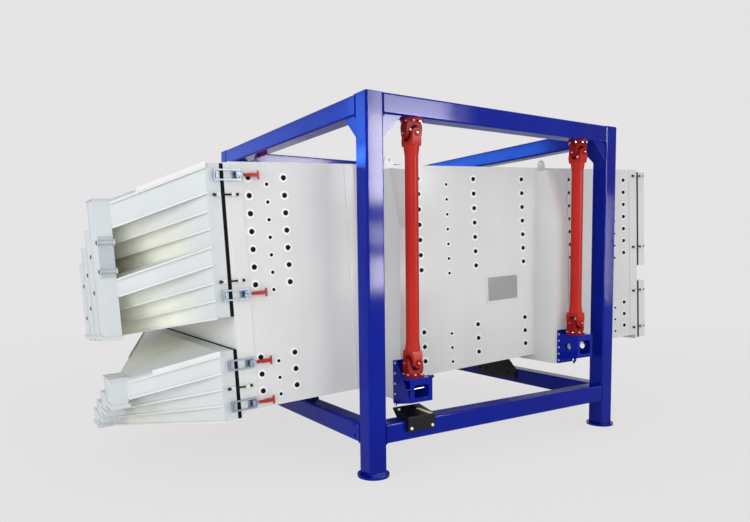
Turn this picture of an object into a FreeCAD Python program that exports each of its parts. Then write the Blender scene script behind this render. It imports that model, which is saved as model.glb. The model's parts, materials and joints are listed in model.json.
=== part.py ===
import FreeCAD, Part
import math
import os

# Square tumbler screen: a sloping screen box that hangs on four cardan rods from a post frame.
# Millimetres. Origin on the floor at the middle of the frame's footprint, +X towards the feed end,
# +Y away from the side with the plugs and the nearest rods, +Z up.

V = FreeCAD.Vector
X_AXIS = V(1, 0, 0)
Y_AXIS = V(0, 1, 0)
Z_AXIS = V(0, 0, 1)
NEAR_FAR = (-1, 1)

# Frame of square tube
frame_length = 2960.0
frame_depth = 3160.0
frame_height = 3000.0
tube_size = 160.0
tube_wall = 8.0
tube_corner = 16.0
bottom_beam_underside = 262.0
haunch_leg = 180.0
foot_d = 260.0
foot_t = 20.0
anchor_pcd = 210.0
anchor_hole_d = 18.0
end_plate_t = 12.0

# Cardan rods and their flange yokes
rod_x = 1000.0
rod_tube_d = 110.0
rod_neck = 34.0
flange_d = 180.0
flange_t = 18.0
flange_to_joint = 115.0
ear_radius = 38.0
ear_gap_half = 46.0
ear_t = 30.0
fork_slot_straight = 20.0
fork_shoulder = 52.0
fork_root_x = 62.0
fork_root_half = 50.0
trunnion_d = 48.0
trunnion_recess = 2.0
spider_core_d = 68.0
bearing_clearance = 0.05
loose_bearing_clearance = 0.3

# Screen box, in its own tilted coordinates: u along it, w across it, v up from its middle
box_slope_deg = 2.75
box_centre_x = 45.0
box_centre_z = 1635.0
box_width = 2200.0
wall_t = 8.0
wall_top_v = 945.0
wall_bottom_v = -945.0
discharge_u = -2440.0
feed_u = 2500.0
end_frame_t = 40.0
end_frame_rim = 60.0
end_frame_foot = 50.0
lip = 50.0
doubler_w = 100.0
doubler_t = 6.0
stiffener_u = 1400.0
stiffener_w = 85.0
stiffener_t = 12.0
cover_t = 6.0
cover_rib_h = 50.0
cover_rib_t = 8.0
cover_rib_count = 8
inspection_u = 350.0
inspection_v = -222.0
inspection_w = 394.0
inspection_h = 230.0
inspection_t = 5.0
window_margin = 35.0

# Decks inside the box
deck_pitch = 132.5
upper_deck_top_v = 762.0
upper_decks = 7
lower_deck_top_v = -580.0
lower_decks = 3
deck_frame_h = 40.0
deck_frame_w = 30.0
deck_bars = 5
deck_side_gap = 17.0
mesh_t = 1.5
rail_w = 40.0
rail_t = 10.0
bay_top_v = -204.0
bay_floor_v = -520.0
bay_plate_t = 8.0

# Hoods of the discharge end: sloping trays that narrow into four ducts side by side
seal_t = 30.0
seal_w = 40.0
hood_frame_depth = 110.0
hood_frame_t = 8.0
hood_flange_t = 10.0
tray_slope_deg = 20.0
tray_t = 3.0
tray_lip = 18.0
tray_sheet = 5.0
hood_reach = 825.0
duct_depth = 120.0
duct_w = 250.0
duct_t = 5.0
duct_count = 4
upper_hood_top_v = 937.0
upper_tray_top_v = 722.0
upper_tray_pitch = 132.3
upper_trays = 8
upper_duct_bottom_v = -355.0
upper_duct_bottom_step = 23.0
duct_door_v = (135.0, 455.0)
duct_door_t = 8.0
duct_door_margin = 8.0
duct_bar_d = 26.0
duct_bar_v = (185.0, 405.0)
lower_hood_top_v = -460.0
lower_tray_top_v = -620.0
lower_tray_pitch = 125.0
lower_trays = 4
lower_duct_bottom_v = -896.0
lower_duct_bottom_step = 106.0

# Covers of the feed end and the feed inlet
upper_door_v = (-140.0, 925.0)
lower_door_v = (-985.0, -320.0)
door_depth = 110.0
door_skin = 6.0
door_rib_h = 30.0
door_rib_t = 8.0
door_ribs = 3
inlet_u = 1950.0
inlet_bore_d = 300.0
inlet_wall = 6.0
inlet_height = 90.0
inlet_clear = 20.0
inlet_flange_d = 400.0
inlet_flange_t = 12.0
inlet_pcd = 360.0
inlet_holes = 8
inlet_hole_d = 14.0

# Columns and brackets that carry the box on the rods, built upright
column_inner_x = 860.0
column_outer_x = 1030.0
column_depth = 270.0
column_top_depth = 140.0
column_taper_h = 500.0
column_sheet = 10.0
column_top_below_edge = 40.0
bracket_w = 220.0
bracket_plate_t = 15.0
bracket_side_t = 12.0
bracket_overhang = 120.0
bracket_seat_t = 20.0
bracket_side_slant = 50.0
bracket_window_rim = 36.0
bracket_window_corner = 18.0
bracket_hole_d = 70.0
gusset_land = 35.0
left_bracket = {"sx": -1, "foot_z": 530.0, "seat_z": 765.0, "back_top_z": 890.0, "front_h": 195.0}
right_bracket = {"sx": 1, "foot_z": 665.0, "seat_z": 965.0, "back_top_z": 1000.0, "front_h": 220.0}
sill_sheet = 8.0
lug_w = 90.0
lug_h = 75.0
lug_t = 16.0
lug_hole_d = 34.0

# Vibration drive in the bay between the two groups of decks
shaft_d = 70.0
bearing_d = 190.0
bearing_h = 30.0
bearing_bore_clearance = 0.08
pulley_v = -310.0
pulley_h = 60.0
pulley_d = 320.0
motor_pulley_d = 90.0
belt_h = 13.0
belt_t = 10.0
belt_fit = 0.4
belt_pitch = 24.0
shaft_end_gap = 5.0
weight_r = 270.0
weight_hub_d = 140.0
weight_h = 50.0
weight_v = (-375.0, -450.0)
motor_w = -620.0
motor_d = 190.0
motor_h = 190.0
motor_shaft_d = 28.0
motor_shaft_seat = 30.0
terminal_box = 90.0
motor_foot = 230.0
motor_foot_t = 12.0

# Bolt locks that bridge the seals, on the hoods and on the feed end covers
hood_lock_v = (707.0, 64.0, -751.0)
door_lock_v = (880.0, 76.0, -428.0, -857.0)
lock_block = 30.0
lock_set_back = 44.0
lock_set_out = 12.0
lock_bolt_d = 14.0
lock_head_d = 24.0
lock_head_t = 10.0
lock_tail = 24.0

# Toggle clamps on the edges of the hoods
clamp_v = (850.0, -40.0, -571.0, -887.0)
clamp_pivot_back = 90.0
clamp_pivot_out = 38.0
clamp_base_u = 72.0
clamp_base_v = 64.0
clamp_base_t = 8.0
clamp_ear_t = 8.0
clamp_ear_gap = 30.0
clamp_ear_r = 12.0
clamp_hub_r = 8.0
clamp_hub_gap = 0.5
clamp_pin_d = 10.0
clamp_pin_clearance = 0.1
link_offset_u = 24.0
link_offset_w = 5.0
link_bar = 12.0
link_half_v = 36.0
lever_w = 24.0
lever_t = 10.0
lever_length = 175.0
lever_grip = 80.0
lever_fork = 44.0
lever_fork_t = 14.0
catch_u = 20.0
catch_v = 50.0
catch_h = 44.0
catch_back = 44.0
catch_gap = 0.9

# Stop brackets on the bottom beams
stop_w = 275.0
stop_t = 40.0
stop_low = 335.0
stop_front_top = 458.0
stop_back_y = 1400.0
stop_back_top = 500.0
stop_sheet = 14.0
stop_foot = 120.0
cross_stop_y = (-410.0, 210.0)
cross_stop_peak_y = (-270.0, -60.0)
cross_stop_t = 20.0
cross_stop_drop = 40.0
cross_stop_rise = 130.0

parts = {}


def box(low, high):
    return Part.makeBox(high[0] - low[0], high[1] - low[1], high[2] - low[2], V(*low))


def prism(points, direction):
    corners = [V(*p) for p in points]
    return Part.Face(Part.makePolygon(corners + corners[:1])).extrude(V(*direction))


def cylinder(diameter, length, base, axis=Z_AXIS):
    return Part.makeCylinder(diameter / 2, length, V(*base), axis)


def fuse(shapes):
    result = shapes[0]
    if len(shapes) > 1:
        result = result.multiFuse(shapes[1:])
    return result.removeSplitter()


def cut(shape, tools):
    return shape.cut(Part.makeCompound(tools)) if tools else shape


def moved(shape, offset, axis=None, degrees=0.0):
    copy = shape.copy()
    if axis is not None:
        copy.rotate(V(0, 0, 0), axis, degrees)
    copy.translate(V(*offset))
    return copy


def mirrored_y(shape):
    return shape.mirror(V(0, 0, 0), Y_AXIS)


def tilted(shape):
    """Carries a shape from the box's own coordinates to the frame's."""
    copy = shape.copy()
    copy.rotate(V(0, 0, 0), Y_AXIS, -box_slope_deg)
    copy.translate(V(box_centre_x, 0, box_centre_z))
    return copy


def add(node, shapes):
    parts[node] = shapes if isinstance(shapes, list) else [shapes]


def add_on_box(node, shapes):
    shapes = shapes if isinstance(shapes, list) else [shapes]
    add(node, [tilted(s) for s in shapes])


def square_tube(length, closed_end=0.0):
    """Square tube with round corners along +Z from the origin, with a plate in its far end if asked."""
    half = tube_size / 2
    block = box((-half, -half, 0), (half, half, length))
    upright = [e for e in block.Edges if abs(e.Vertexes[0].X - e.Vertexes[-1].X) < 1e-6
               and abs(e.Vertexes[0].Y - e.Vertexes[-1].Y) < 1e-6]
    outer = block.makeFillet(tube_corner, upright)
    half = tube_size / 2 - tube_wall
    return outer.cut(box((-half, -half, 0), (half, half, length - closed_end)))


# Frame
post_x = frame_length / 2 - tube_size / 2
post_y = frame_depth / 2 - tube_size / 2
top_beam_z = frame_height - tube_size / 2
bottom_beam_z = bottom_beam_underside + tube_size / 2
bottom_beam_top = bottom_beam_underside + tube_size
beam_underside = frame_height - tube_size
CORNERS = [(sx, sy) for sx in NEAR_FAR for sy in NEAR_FAR]


def build_frame():
    post = square_tube(frame_height - foot_t, tube_wall)
    add("corner_posts", [moved(post, (sx * post_x, sy * post_y, foot_t)) for sx, sy in CORNERS])
    long_span = 2 * post_x - tube_size
    cross_span = 2 * post_y - tube_size
    long_beam = moved(square_tube(long_span), (-long_span / 2, 0, 0), Y_AXIS, 90)
    inner_tube = moved(square_tube(cross_span - 2 * end_plate_t),
                       (0, -cross_span / 2 + end_plate_t, 0), X_AXIS, -90)
    half = tube_size / 2
    plate = box((-half, 0, -half), (half, end_plate_t, half))
    cross_beam = fuse([inner_tube, moved(plate, (0, -cross_span / 2, 0)),
                       moved(plate, (0, cross_span / 2 - end_plate_t, 0))])
    for level, z in (("top", top_beam_z), ("bottom", bottom_beam_z)):
        add(level + "_long_beams", [moved(long_beam, (0, sy * post_y, z)) for sy in NEAR_FAR])
        add(level + "_cross_beams", [moved(cross_beam, (sx * post_x, 0, z)) for sx in NEAR_FAR])
    haunches = []
    flat = (tube_size - 2 * tube_corner) / 2
    for sx, sy in CORNERS:
        x = sx * (post_x - half)
        haunches.append(prism([(x, sy * post_y - flat, beam_underside),
                               (x - sx * haunch_leg, sy * post_y - flat, beam_underside),
                               (x, sy * post_y - flat, beam_underside - haunch_leg)], (0, 2 * flat, 0)))
        y = sy * (post_y - half)
        haunches.append(prism([(sx * post_x - flat, y, beam_underside),
                               (sx * post_x - flat, y - sy * haunch_leg, beam_underside),
                               (sx * post_x - flat, y, beam_underside - haunch_leg)], (2 * flat, 0, 0)))
    add("haunch_gussets", haunches)
    foot = cylinder(foot_d, foot_t, (0, 0, 0))
    holes = []
    for i in range(4):
        a = math.radians(90 * i)
        at = (anchor_pcd / 2 * math.cos(a), anchor_pcd / 2 * math.sin(a), 0)
        holes.append(cylinder(anchor_hole_d, foot_t, at))
    foot = cut(foot, holes)
    add("foot_plates", [moved(foot, (sx * post_x, sy * post_y, 0)) for sx, sy in CORNERS])


def build_stops():
    """Sloping bracket over the near bottom beam, and a peaked plate on each cross beam's inner face."""
    back = -frame_depth / 2
    front = back - stop_t
    x0 = -rod_x - stop_w / 2
    x1 = x0 + stop_w
    low = stop_low
    top = stop_front_top
    rear = -stop_back_y
    plates = [box((x0, front, low), (x1, front + stop_sheet, top)),
              prism([(x0, front, top - stop_sheet), (x0, front, top), (x0, rear, stop_back_top),
                     (x0, rear, stop_back_top - stop_sheet)], (stop_w, 0, 0))]
    for x in (x0, x1 - stop_sheet):
        plates.append(prism([(x, front, low), (x, back, low), (x, back, bottom_beam_top),
                             (x, back + stop_foot, bottom_beam_top), (x, rear, stop_back_top - stop_sheet),
                             (x, front, top - stop_sheet)], (stop_sheet, 0, 0)))
    stops = [fuse(plates)]
    peak = bottom_beam_top + cross_stop_rise
    low = bottom_beam_z - cross_stop_drop
    for sx in NEAR_FAR:
        x = sx * (post_x - tube_size / 2)
        stops.append(prism([(x, cross_stop_y[0], low), (x, cross_stop_y[1], low),
                            (x, cross_stop_y[1], bottom_beam_top), (x, cross_stop_peak_y[1], peak),
                            (x, cross_stop_peak_y[0], peak), (x, cross_stop_y[0], bottom_beam_top)],
                           (-sx * cross_stop_t, 0, 0)))
    add("stop_brackets", stops)


# Cardan rods
joint_top_z = beam_underside - flange_to_joint
ear_outer = ear_gap_half + ear_t
fork_base = flange_to_joint - flange_t


def fork(clearance):
    """Yoke with its ears either side of X, joint centre at the origin, root towards +Z."""
    deep = 2 * fork_root_half
    side = prism([(-ear_outer, -deep / 2, -ear_radius), (ear_outer, -deep / 2, -ear_radius),
                  (ear_outer, -deep / 2, fork_shoulder), (fork_root_x, -deep / 2, fork_base),
                  (-fork_root_x, -deep / 2, fork_base), (-ear_outer, -deep / 2, fork_shoulder)],
                 (0, deep, 0))
    slot = fuse([box((-ear_gap_half, -deep / 2, -2 * ear_radius),
                     (ear_gap_half, deep / 2, fork_slot_straight)),
                 cylinder(2 * ear_gap_half, deep, (0, -deep / 2, fork_slot_straight), Y_AXIS)])
    ear = fuse([cylinder(2 * ear_radius, 2 * ear_outer, (-ear_outer, 0, 0), X_AXIS),
                prism([(-ear_outer, -ear_radius, 0), (-ear_outer, ear_radius, 0),
                       (-ear_outer, fork_root_half, fork_base), (-ear_outer, -fork_root_half, fork_base)],
                      (2 * ear_outer, 0, 0))])
    bore = cylinder(trunnion_d + 2 * clearance, 2 * ear_outer, (-ear_outer, 0, 0), X_AXIS)
    return side.cut(slot).common(ear).cut(bore)


def flange_yoke(clearance):
    return fuse([fork(clearance), cylinder(flange_d, flange_t, (0, 0, fork_base))])


def spider():
    reach = ear_outer - trunnion_recess
    arms = [cylinder(trunnion_d, 2 * reach, (-reach, 0, 0), X_AXIS),
            cylinder(trunnion_d, 2 * reach, (0, -reach, 0), Y_AXIS)]
    return fuse(arms + [cylinder(spider_core_d, trunnion_d, (0, 0, -trunnion_d / 2))])


def rod(length):
    """Tube between two forks with their ears either side of Y, top joint centre at the origin."""
    upper = moved(fork(bearing_clearance), (0, 0, 0), X_AXIS, 180)
    upper = moved(upper, (0, 0, 0), Z_AXIS, 90)
    lower = moved(moved(fork(bearing_clearance), (0, 0, 0), Z_AXIS, 90), (0, 0, -length))
    tube_top = -fork_base - rod_neck
    tube_bottom = -length + fork_base + rod_neck
    tube = cylinder(rod_tube_d, tube_top - tube_bottom, (0, 0, tube_bottom))
    neck = Part.makeCone(rod_tube_d / 2, fork_root_half, rod_neck, V(0, 0, tube_top))
    foot = Part.makeCone(fork_root_half, rod_tube_d / 2, rod_neck, V(0, 0, -length + fork_base))
    return fuse([upper, neck, tube, foot, lower])


def brackets():
    return [left_bracket, right_bracket]


def build_rods():
    yoke = flange_yoke(bearing_clearance)
    add("upper_flange_yokes",
        [moved(yoke, (sx * rod_x, sy * post_y, joint_top_z)) for sx, sy in CORNERS])
    lower = []
    for b in brackets():
        joint_z = b["seat_z"] + flange_to_joint
        side = "discharge" if b["sx"] < 0 else "feed"
        for sy in NEAR_FAR:
            name = ("near_" if sy < 0 else "far_") + side
            at = (b["sx"] * rod_x, sy * post_y)
            add("hanger_rod_" + name, moved(rod(joint_top_z - joint_z), (at[0], at[1], joint_top_z)))
            add("top_cross_" + name, moved(spider(), (at[0], at[1], joint_top_z)))
            add("bottom_cross_" + name, moved(spider(), (at[0], at[1], joint_z)))
            first = name == "near_discharge"
            turned = moved(flange_yoke(bearing_clearance if first else loose_bearing_clearance),
                           (0, 0, 0), X_AXIS, 180)
            lower.append(moved(turned, (at[0], at[1], joint_z)))
    add("lower_flange_yokes", lower)


# Screen box
half_w = box_width / 2
wall_u0 = discharge_u + end_frame_t
wall_u1 = feed_u - end_frame_t
inside_w = half_w - wall_t


def build_walls():
    sheet = box((wall_u0, -half_w, wall_bottom_v), (wall_u1, -inside_w, wall_top_v))
    strips = []
    for v in (wall_bottom_v, wall_top_v - wall_t):
        strips.append(box((wall_u0, -inside_w, v), (wall_u1, -half_w + lip, v + wall_t)))
    for u in (wall_u0, wall_u1 - doubler_w):
        strips.append(box((u, -half_w - doubler_t, wall_bottom_v), (u + doubler_w, -half_w, wall_top_v)))
    for u in (-stiffener_u, stiffener_u - stiffener_w):
        strips.append(box((u, -half_w - stiffener_t, wall_bottom_v),
                          (u + stiffener_w, -half_w, wall_top_v)))
    hole_w = inspection_w / 2 - window_margin
    hole_h = inspection_h / 2 - window_margin
    window = box((inspection_u - hole_w, -half_w - 1, inspection_v - hole_h),
                 (inspection_u + hole_w, -inside_w + 1, inspection_v + hole_h))
    near = [sheet.cut(window)] + strips
    add_on_box("near_side_wall", near)
    add_on_box("far_side_wall", [mirrored_y(piece) for piece in near])
    plate = box((inspection_u - inspection_w / 2, -half_w - inspection_t, inspection_v - inspection_h / 2),
                (inspection_u + inspection_w / 2, -half_w, inspection_v + inspection_h / 2))
    add_on_box("inspection_covers", [plate, mirrored_y(plate)])


def build_cover_and_floor():
    sheet = box((wall_u0, -half_w, wall_top_v), (wall_u1, half_w, wall_top_v + cover_t))
    ribs = []
    pitch = (wall_u1 - wall_u0) / (cover_rib_count + 1)
    for i in range(cover_rib_count):
        u = wall_u0 + pitch * (i + 1)
        ribs.append(box((u, -half_w + lip, wall_top_v + cover_t),
                        (u + cover_rib_t, half_w - lip, wall_top_v + cover_t + cover_rib_h)))
    cover = [sheet.cut(cylinder(inlet_bore_d, cover_t, (inlet_u, 0, wall_top_v)))]
    clear = cylinder(inlet_flange_d + 2 * inlet_clear, cover_rib_h, (inlet_u, 0, wall_top_v + cover_t))
    for rib in ribs:
        cover += rib.cut(clear).Solids
    add_on_box("top_cover", cover)
    floor_v = wall_bottom_v + wall_t
    add_on_box("bottom_pan", box((wall_u0, -inside_w, floor_v), (wall_u1, inside_w, floor_v + cover_t)))
    collar_base = wall_top_v + cover_t
    outer_d = inlet_bore_d + 2 * inlet_wall
    flange_v = collar_base + inlet_height - inlet_flange_t
    collar = fuse([cylinder(outer_d, inlet_height, (inlet_u, 0, collar_base)),
                   cylinder(inlet_flange_d, inlet_flange_t, (inlet_u, 0, flange_v))])
    holes = [cylinder(inlet_bore_d, inlet_height, (inlet_u, 0, collar_base))]
    for i in range(inlet_holes):
        a = 2 * math.pi * (i + 0.5) / inlet_holes
        at = (inlet_u + inlet_pcd / 2 * math.cos(a), inlet_pcd / 2 * math.sin(a), flange_v)
        holes.append(cylinder(inlet_hole_d, inlet_flange_t, at))
    add_on_box("feed_inlet", cut(collar, holes))


def build_end_frames():
    low_v = wall_bottom_v - end_frame_foot
    frames = []
    for u, gaps in ((discharge_u, ((tray_floor_lower(lower_trays) + end_frame_rim,
                                    lower_hood_top_v - end_frame_rim),
                                   (tray_floor_upper(upper_trays) + end_frame_rim,
                                    upper_hood_top_v - end_frame_rim))),
                    (wall_u1, ((lower_door_v[0] + end_frame_rim, lower_door_v[1] - end_frame_rim),
                               (upper_door_v[0] + end_frame_rim, upper_door_v[1] - end_frame_rim)))):
        plate = box((u, -half_w, low_v), (u + end_frame_t, half_w, wall_top_v))
        holes = [box((u, -half_w + end_frame_rim, g[0]), (u + end_frame_t, half_w - end_frame_rim, g[1]))
                 for g in gaps]
        frames.append(cut(plate, holes))
    add_on_box("end_frames", frames)


def ring(u0, u1, v0, v1, band):
    return box((u0, -half_w, v0), (u1, half_w, v1)).cut(
        box((u0, -half_w + band, v0 + band), (u1, half_w - band, v1 - band)))


def ring_boards(u0, u1, v0, v1, band):
    """The same ring as four boards that butt."""
    boards = [box((u0, -half_w, v), (u1, half_w, v + band)) for v in (v0, v1 - band)]
    for w in (-half_w, half_w - band):
        boards.append(box((u0, w, v0 + band), (u1, w + band, v1 - band)))
    return boards


def build_seals():
    out = discharge_u - seal_t
    seals = [ring(out, discharge_u, tray_floor_upper(upper_trays), upper_hood_top_v, seal_w),
             ring(out, discharge_u, tray_floor_lower(lower_trays), lower_hood_top_v, seal_w)]
    for v0, v1 in (upper_door_v, lower_door_v):
        seals.append(ring(feed_u, feed_u + seal_t, v0, v1, seal_w))
    add_on_box("hood_and_door_seals", seals)


def deck_levels():
    upper = [upper_deck_top_v - deck_pitch * i for i in range(upper_decks)]
    lower = [lower_deck_top_v - deck_pitch * i for i in range(lower_decks)]
    return upper + lower


def build_decks():
    u0 = wall_u0 + 10
    u1 = wall_u1 - 10
    w = inside_w - deck_side_gap
    frames = []
    meshes = []
    rails = []
    for v in deck_levels():
        outer = box((u0, -w, v - deck_frame_h), (u1, w, v))
        bays = []
        bay = (u1 - u0 - deck_frame_w) / (deck_bars + 1)
        for i in range(deck_bars + 1):
            bays.append(box((u0 + deck_frame_w + bay * i, -w + deck_frame_w, v - deck_frame_h),
                            (u0 + bay * (i + 1), w - deck_frame_w, v)))
        frames.append(cut(outer, bays))
        meshes.append(box((u0, -w, v), (u1, w, v + mesh_t)))
        for side in NEAR_FAR:
            edges = sorted((side * inside_w, side * (inside_w - rail_w)))
            rails.append(box((u0, edges[0], v - deck_frame_h - rail_t), (u1, edges[1], v - deck_frame_h)))
    add_on_box("screen_frames", frames)
    add_on_box("screen_meshes", meshes)
    add_on_box("deck_rails", rails)
    add_on_box("drive_bay_plates", [
        box((wall_u0, -inside_w, v - bay_plate_t), (wall_u1, inside_w, v)) for v in (bay_top_v, bay_floor_v)])


# Discharge hoods
def tray_floor_upper(i):
    return upper_tray_top_v - upper_tray_pitch * (i - 1)


def tray_floor_lower(i):
    return lower_tray_top_v - lower_tray_pitch * (i - 1)


def duct_slot(k):
    left = -duct_w * duct_count / 2 + duct_w * k
    return left, left + duct_w


duct_front_u = discharge_u - hood_reach


def duct_sheets(k, bottom, top, mouths):
    """Top, front, two sides, and the parts of the back that the mouths of the trays leave."""
    left, right = duct_slot(k)
    back_u = duct_front_u + duct_depth
    under = top - duct_t
    sheets = [box((duct_front_u, left, under), (back_u, right, top)),
              box((duct_front_u, left, bottom), (duct_front_u + duct_t, right, under))]
    for w in (left, right - duct_t):
        sheets.append(box((duct_front_u + duct_t, w, bottom), (back_u, w + duct_t, under)))
    edges = [under]
    for low, high in mouths:
        edges += [high, low]
    edges.append(bottom)
    for high, low in zip(edges[0::2], edges[1::2]):
        if high > low:
            sheets.append(box((back_u - duct_t, left + duct_t, low), (back_u, right - duct_t, high)))
    return sheets


def build_hood(node, top_v, floor_of, count, bottom_v, bottom_step):
    """Welded sheets: base frame, narrowing sloped trays, and a duct under each of the four tray ends."""
    flange_u = discharge_u - seal_t
    rim_u = flange_u - hood_flange_t
    tray_u = flange_u - hood_frame_depth
    duct_u = duct_front_u + duct_depth
    drop = (tray_u - duct_u) * math.tan(math.radians(tray_slope_deg))
    levels = [top_v] + [floor_of(i + 1) for i in range(count)]

    def sloped(start, end, high, low):
        """Sheet between two pairs of edges: start at the base frame, end at the ducts."""
        return prism([(tray_u, start[0], high), (duct_u, end[0], high - drop),
                      (duct_u, end[1], high - drop), (tray_u, start[1], high)], (0, 0, low - high))
    sheets = (ring_boards(tray_u, rim_u, levels[-1], top_v, hood_frame_t)
              + ring_boards(rim_u, flange_u, levels[-1], top_v, seal_w))
    for j, level in enumerate(levels):
        slots = [duct_slot(i % duct_count) for i in (j - 1, j) if 0 <= i < count]
        edge = half_w + tray_lip
        end = (min(slot[0] for slot in slots) - tray_lip, max(slot[1] for slot in slots) + tray_lip)
        high = level + tray_t if j > 0 else level
        sheets.append(sloped((-edge, edge), end, high, level - tray_t))
    for j in range(count):
        left, right = duct_slot(j % duct_count)
        high = levels[j] - tray_t
        low = levels[j + 1] + tray_t
        sheets.append(sloped((-half_w, tray_sheet - half_w), (left, left + tray_sheet), high, low))
        sheets.append(sloped((half_w - tray_sheet, half_w), (right - tray_sheet, right), high, low))
    for k in range(duct_count):
        mouths = [(levels[j + 1] + tray_t - drop, levels[j] - tray_t - drop) for j in range(k, count, duct_count)]
        sheets += duct_sheets(k, bottom_v - bottom_step * k, levels[k] - drop, mouths)
    add_on_box(node, sheets)


def build_hoods():
    build_hood("upper_hood", upper_hood_top_v, tray_floor_upper, upper_trays,
               upper_duct_bottom_v, upper_duct_bottom_step)
    build_hood("lower_hood", lower_hood_top_v, tray_floor_lower, lower_trays,
               lower_duct_bottom_v, lower_duct_bottom_step)
    near_w = duct_slot(0)[0]
    face_w = near_w - duct_door_t
    bar_w = face_w - duct_bar_d / 2
    u0 = duct_front_u + duct_door_margin
    u1 = duct_front_u + duct_depth - duct_door_margin
    pieces = [box((u0, face_w, duct_door_v[0]), (u1, near_w, duct_door_v[1]))]
    for v in duct_bar_v:
        pieces.append(cylinder(duct_bar_d, duct_depth, (duct_front_u, bar_w, v), X_AXIS))
        pieces.append(box((u0, bar_w, v - duct_bar_d / 3), (u1, face_w, v + duct_bar_d / 3)))
    add_on_box("duct_door", fuse(pieces))


def build_doors():
    names = (("upper_feed_door", upper_door_v), ("lower_feed_door", lower_door_v))
    u0 = feed_u + seal_t
    u1 = u0 + door_depth
    rim_u = u0 + hood_flange_t
    skin_u = u1 - door_skin
    for name, (v0, v1) in names:
        sheets = (ring_boards(u0, rim_u, v0, v1, seal_w) + ring_boards(rim_u, skin_u, v0, v1, hood_frame_t)
                  + [box((skin_u, -half_w, v0), (u1, half_w, v1))])
        for i in range(door_ribs):
            v = v0 + (v1 - v0) * (i + 1) / (door_ribs + 1)
            sheets.append(box((u1, -half_w, v), (u1 + door_rib_h, half_w, v + door_rib_t)))
        add_on_box(name, sheets)


# Columns, brackets and sills are upright and meet the side walls on their flat outer faces
def wall_edge_z(x, v):
    slope = math.radians(box_slope_deg)
    u = (x - box_centre_x + v * math.sin(slope)) / math.cos(slope)
    return box_centre_z + u * math.sin(slope) + v * math.cos(slope)


def build_columns():
    columns = []
    bracket_solids = []
    sills = []
    lugs = []
    for b in brackets():
        sx = b["sx"]
        x0, x1 = sorted((sx * column_inner_x, sx * column_outer_x))
        foot = b["foot_z"]
        top = wall_edge_z(sx * column_outer_x, wall_top_v) - column_top_below_edge
        back = -half_w
        front = back - column_depth
        front_top = back - column_top_depth
        shoulder = top - column_taper_h
        t = column_sheet
        side = [(back, foot), (front, foot), (front, shoulder), (front_top, top), (back, top)]
        covers = [[(front, foot), (front + t, foot), (front + t, shoulder), (front, shoulder)],
                  [(front, shoulder), (front + t, shoulder), (front_top + t, top - t), (front_top, top)],
                  [(front_top, top), (front_top + t, top - t), (back, top - t), (back, top)]]
        plates = [prism([(x, y, z) for y, z in side], (t, 0, 0)) for x in (x0, x1 - t)]
        plates += [prism([(x0 + t, y, z) for y, z in cover], (x1 - x0 - 2 * t, 0, 0)) for cover in covers]
        columns += plates + [mirrored_y(plate) for plate in plates]
        bracket = build_bracket(b, front)
        bracket_solids += [bracket, mirrored_y(bracket)]
        floor0 = wall_edge_z(x0, wall_bottom_v)
        floor1 = wall_edge_z(x1, wall_bottom_v)
        sill = prism([(x0, -half_w, foot), (x1, -half_w, foot), (x1, -half_w, floor1),
                      (x0, -half_w, floor0)], (0, 2 * half_w, 0))
        core = prism([(x0 + sill_sheet, -half_w, foot + sill_sheet),
                      (x1 - sill_sheet, -half_w, foot + sill_sheet),
                      (x1 - sill_sheet, -half_w, floor1 - 2 * sill_sheet),
                      (x0 + sill_sheet, -half_w, floor0 - 2 * sill_sheet)], (0, 2 * half_w, 0))
        sills.append(sill.cut(core))
        half = lug_w / 2
        lug = prism([(-half, -lug_t, 0), (half, -lug_t, 0), (half, -lug_t, lug_h / 2),
                     (half / 2, -lug_t, lug_h), (-half / 2, -lug_t, lug_h), (-half, -lug_t, lug_h / 2)],
                    (0, lug_t, 0))
        lug = lug.cut(cylinder(lug_hole_d, lug_t, (0, -lug_t, lug_h - lug_hole_d), Y_AXIS))
        at = (sx * (column_inner_x + column_outer_x) / 2, -half_w + lug_t, wall_top_v + cover_t)
        lugs += [moved(lug, at), mirrored_y(moved(lug, at))]
    add("suspension_columns", columns)
    add("rod_brackets", bracket_solids)
    add("cross_sills", sills)
    add_on_box("lifting_lugs", lugs)


def build_bracket(b, face_y):
    """Bracket under a lower flange yoke: back plate, seat, front plate with a window, two unlike sides."""
    cx = b["sx"] * rod_x
    half = bracket_w / 2
    plate_y = face_y - bracket_plate_t
    front_y = -post_y - bracket_overhang
    under = b["seat_z"] - bracket_seat_t
    low = b["seat_z"] - b["front_h"]
    back = box((cx - half, plate_y, b["foot_z"]), (cx + half, face_y, b["back_top_z"]))
    seat = box((cx - half, front_y, under), (cx + half, face_y, b["seat_z"]))
    full_side = [(plate_y, low - bracket_side_slant), (front_y, low), (front_y, under), (plate_y, under)]
    gusset = [(plate_y, low - bracket_side_slant), (front_y, low), (plate_y - gusset_land, b["back_top_z"]),
              (plate_y, b["back_top_z"])]
    outer = gusset if b["sx"] < 0 else full_side
    front = box((cx - half, front_y, low), (cx + half, front_y + bracket_side_t, under))
    window = box((cx - half + bracket_window_rim, front_y, low + bracket_window_rim),
                 (cx + half - bracket_window_rim, front_y + bracket_side_t, under - bracket_window_rim))
    corners = [e for e in window.Edges if abs(e.Vertexes[0].X - e.Vertexes[-1].X) < 1e-6
               and abs(e.Vertexes[0].Z - e.Vertexes[-1].Z) < 1e-6]
    pieces = [back, seat, front.cut(window.makeFillet(bracket_window_corner, corners))]
    for outline, x in ((outer, cx - half), (full_side, cx + half - bracket_side_t)):
        pieces.append(prism([(x, y, z) for y, z in outline], (bracket_side_t, 0, 0)))
    bracket = fuse(pieces)
    if b["sx"] > 0:
        middle = (cx - half, (plate_y + front_y) / 2, (low + under) / 2)
        bracket = bracket.cut(cylinder(bracket_hole_d, bracket_w, middle, X_AXIS))
    return bracket


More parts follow.
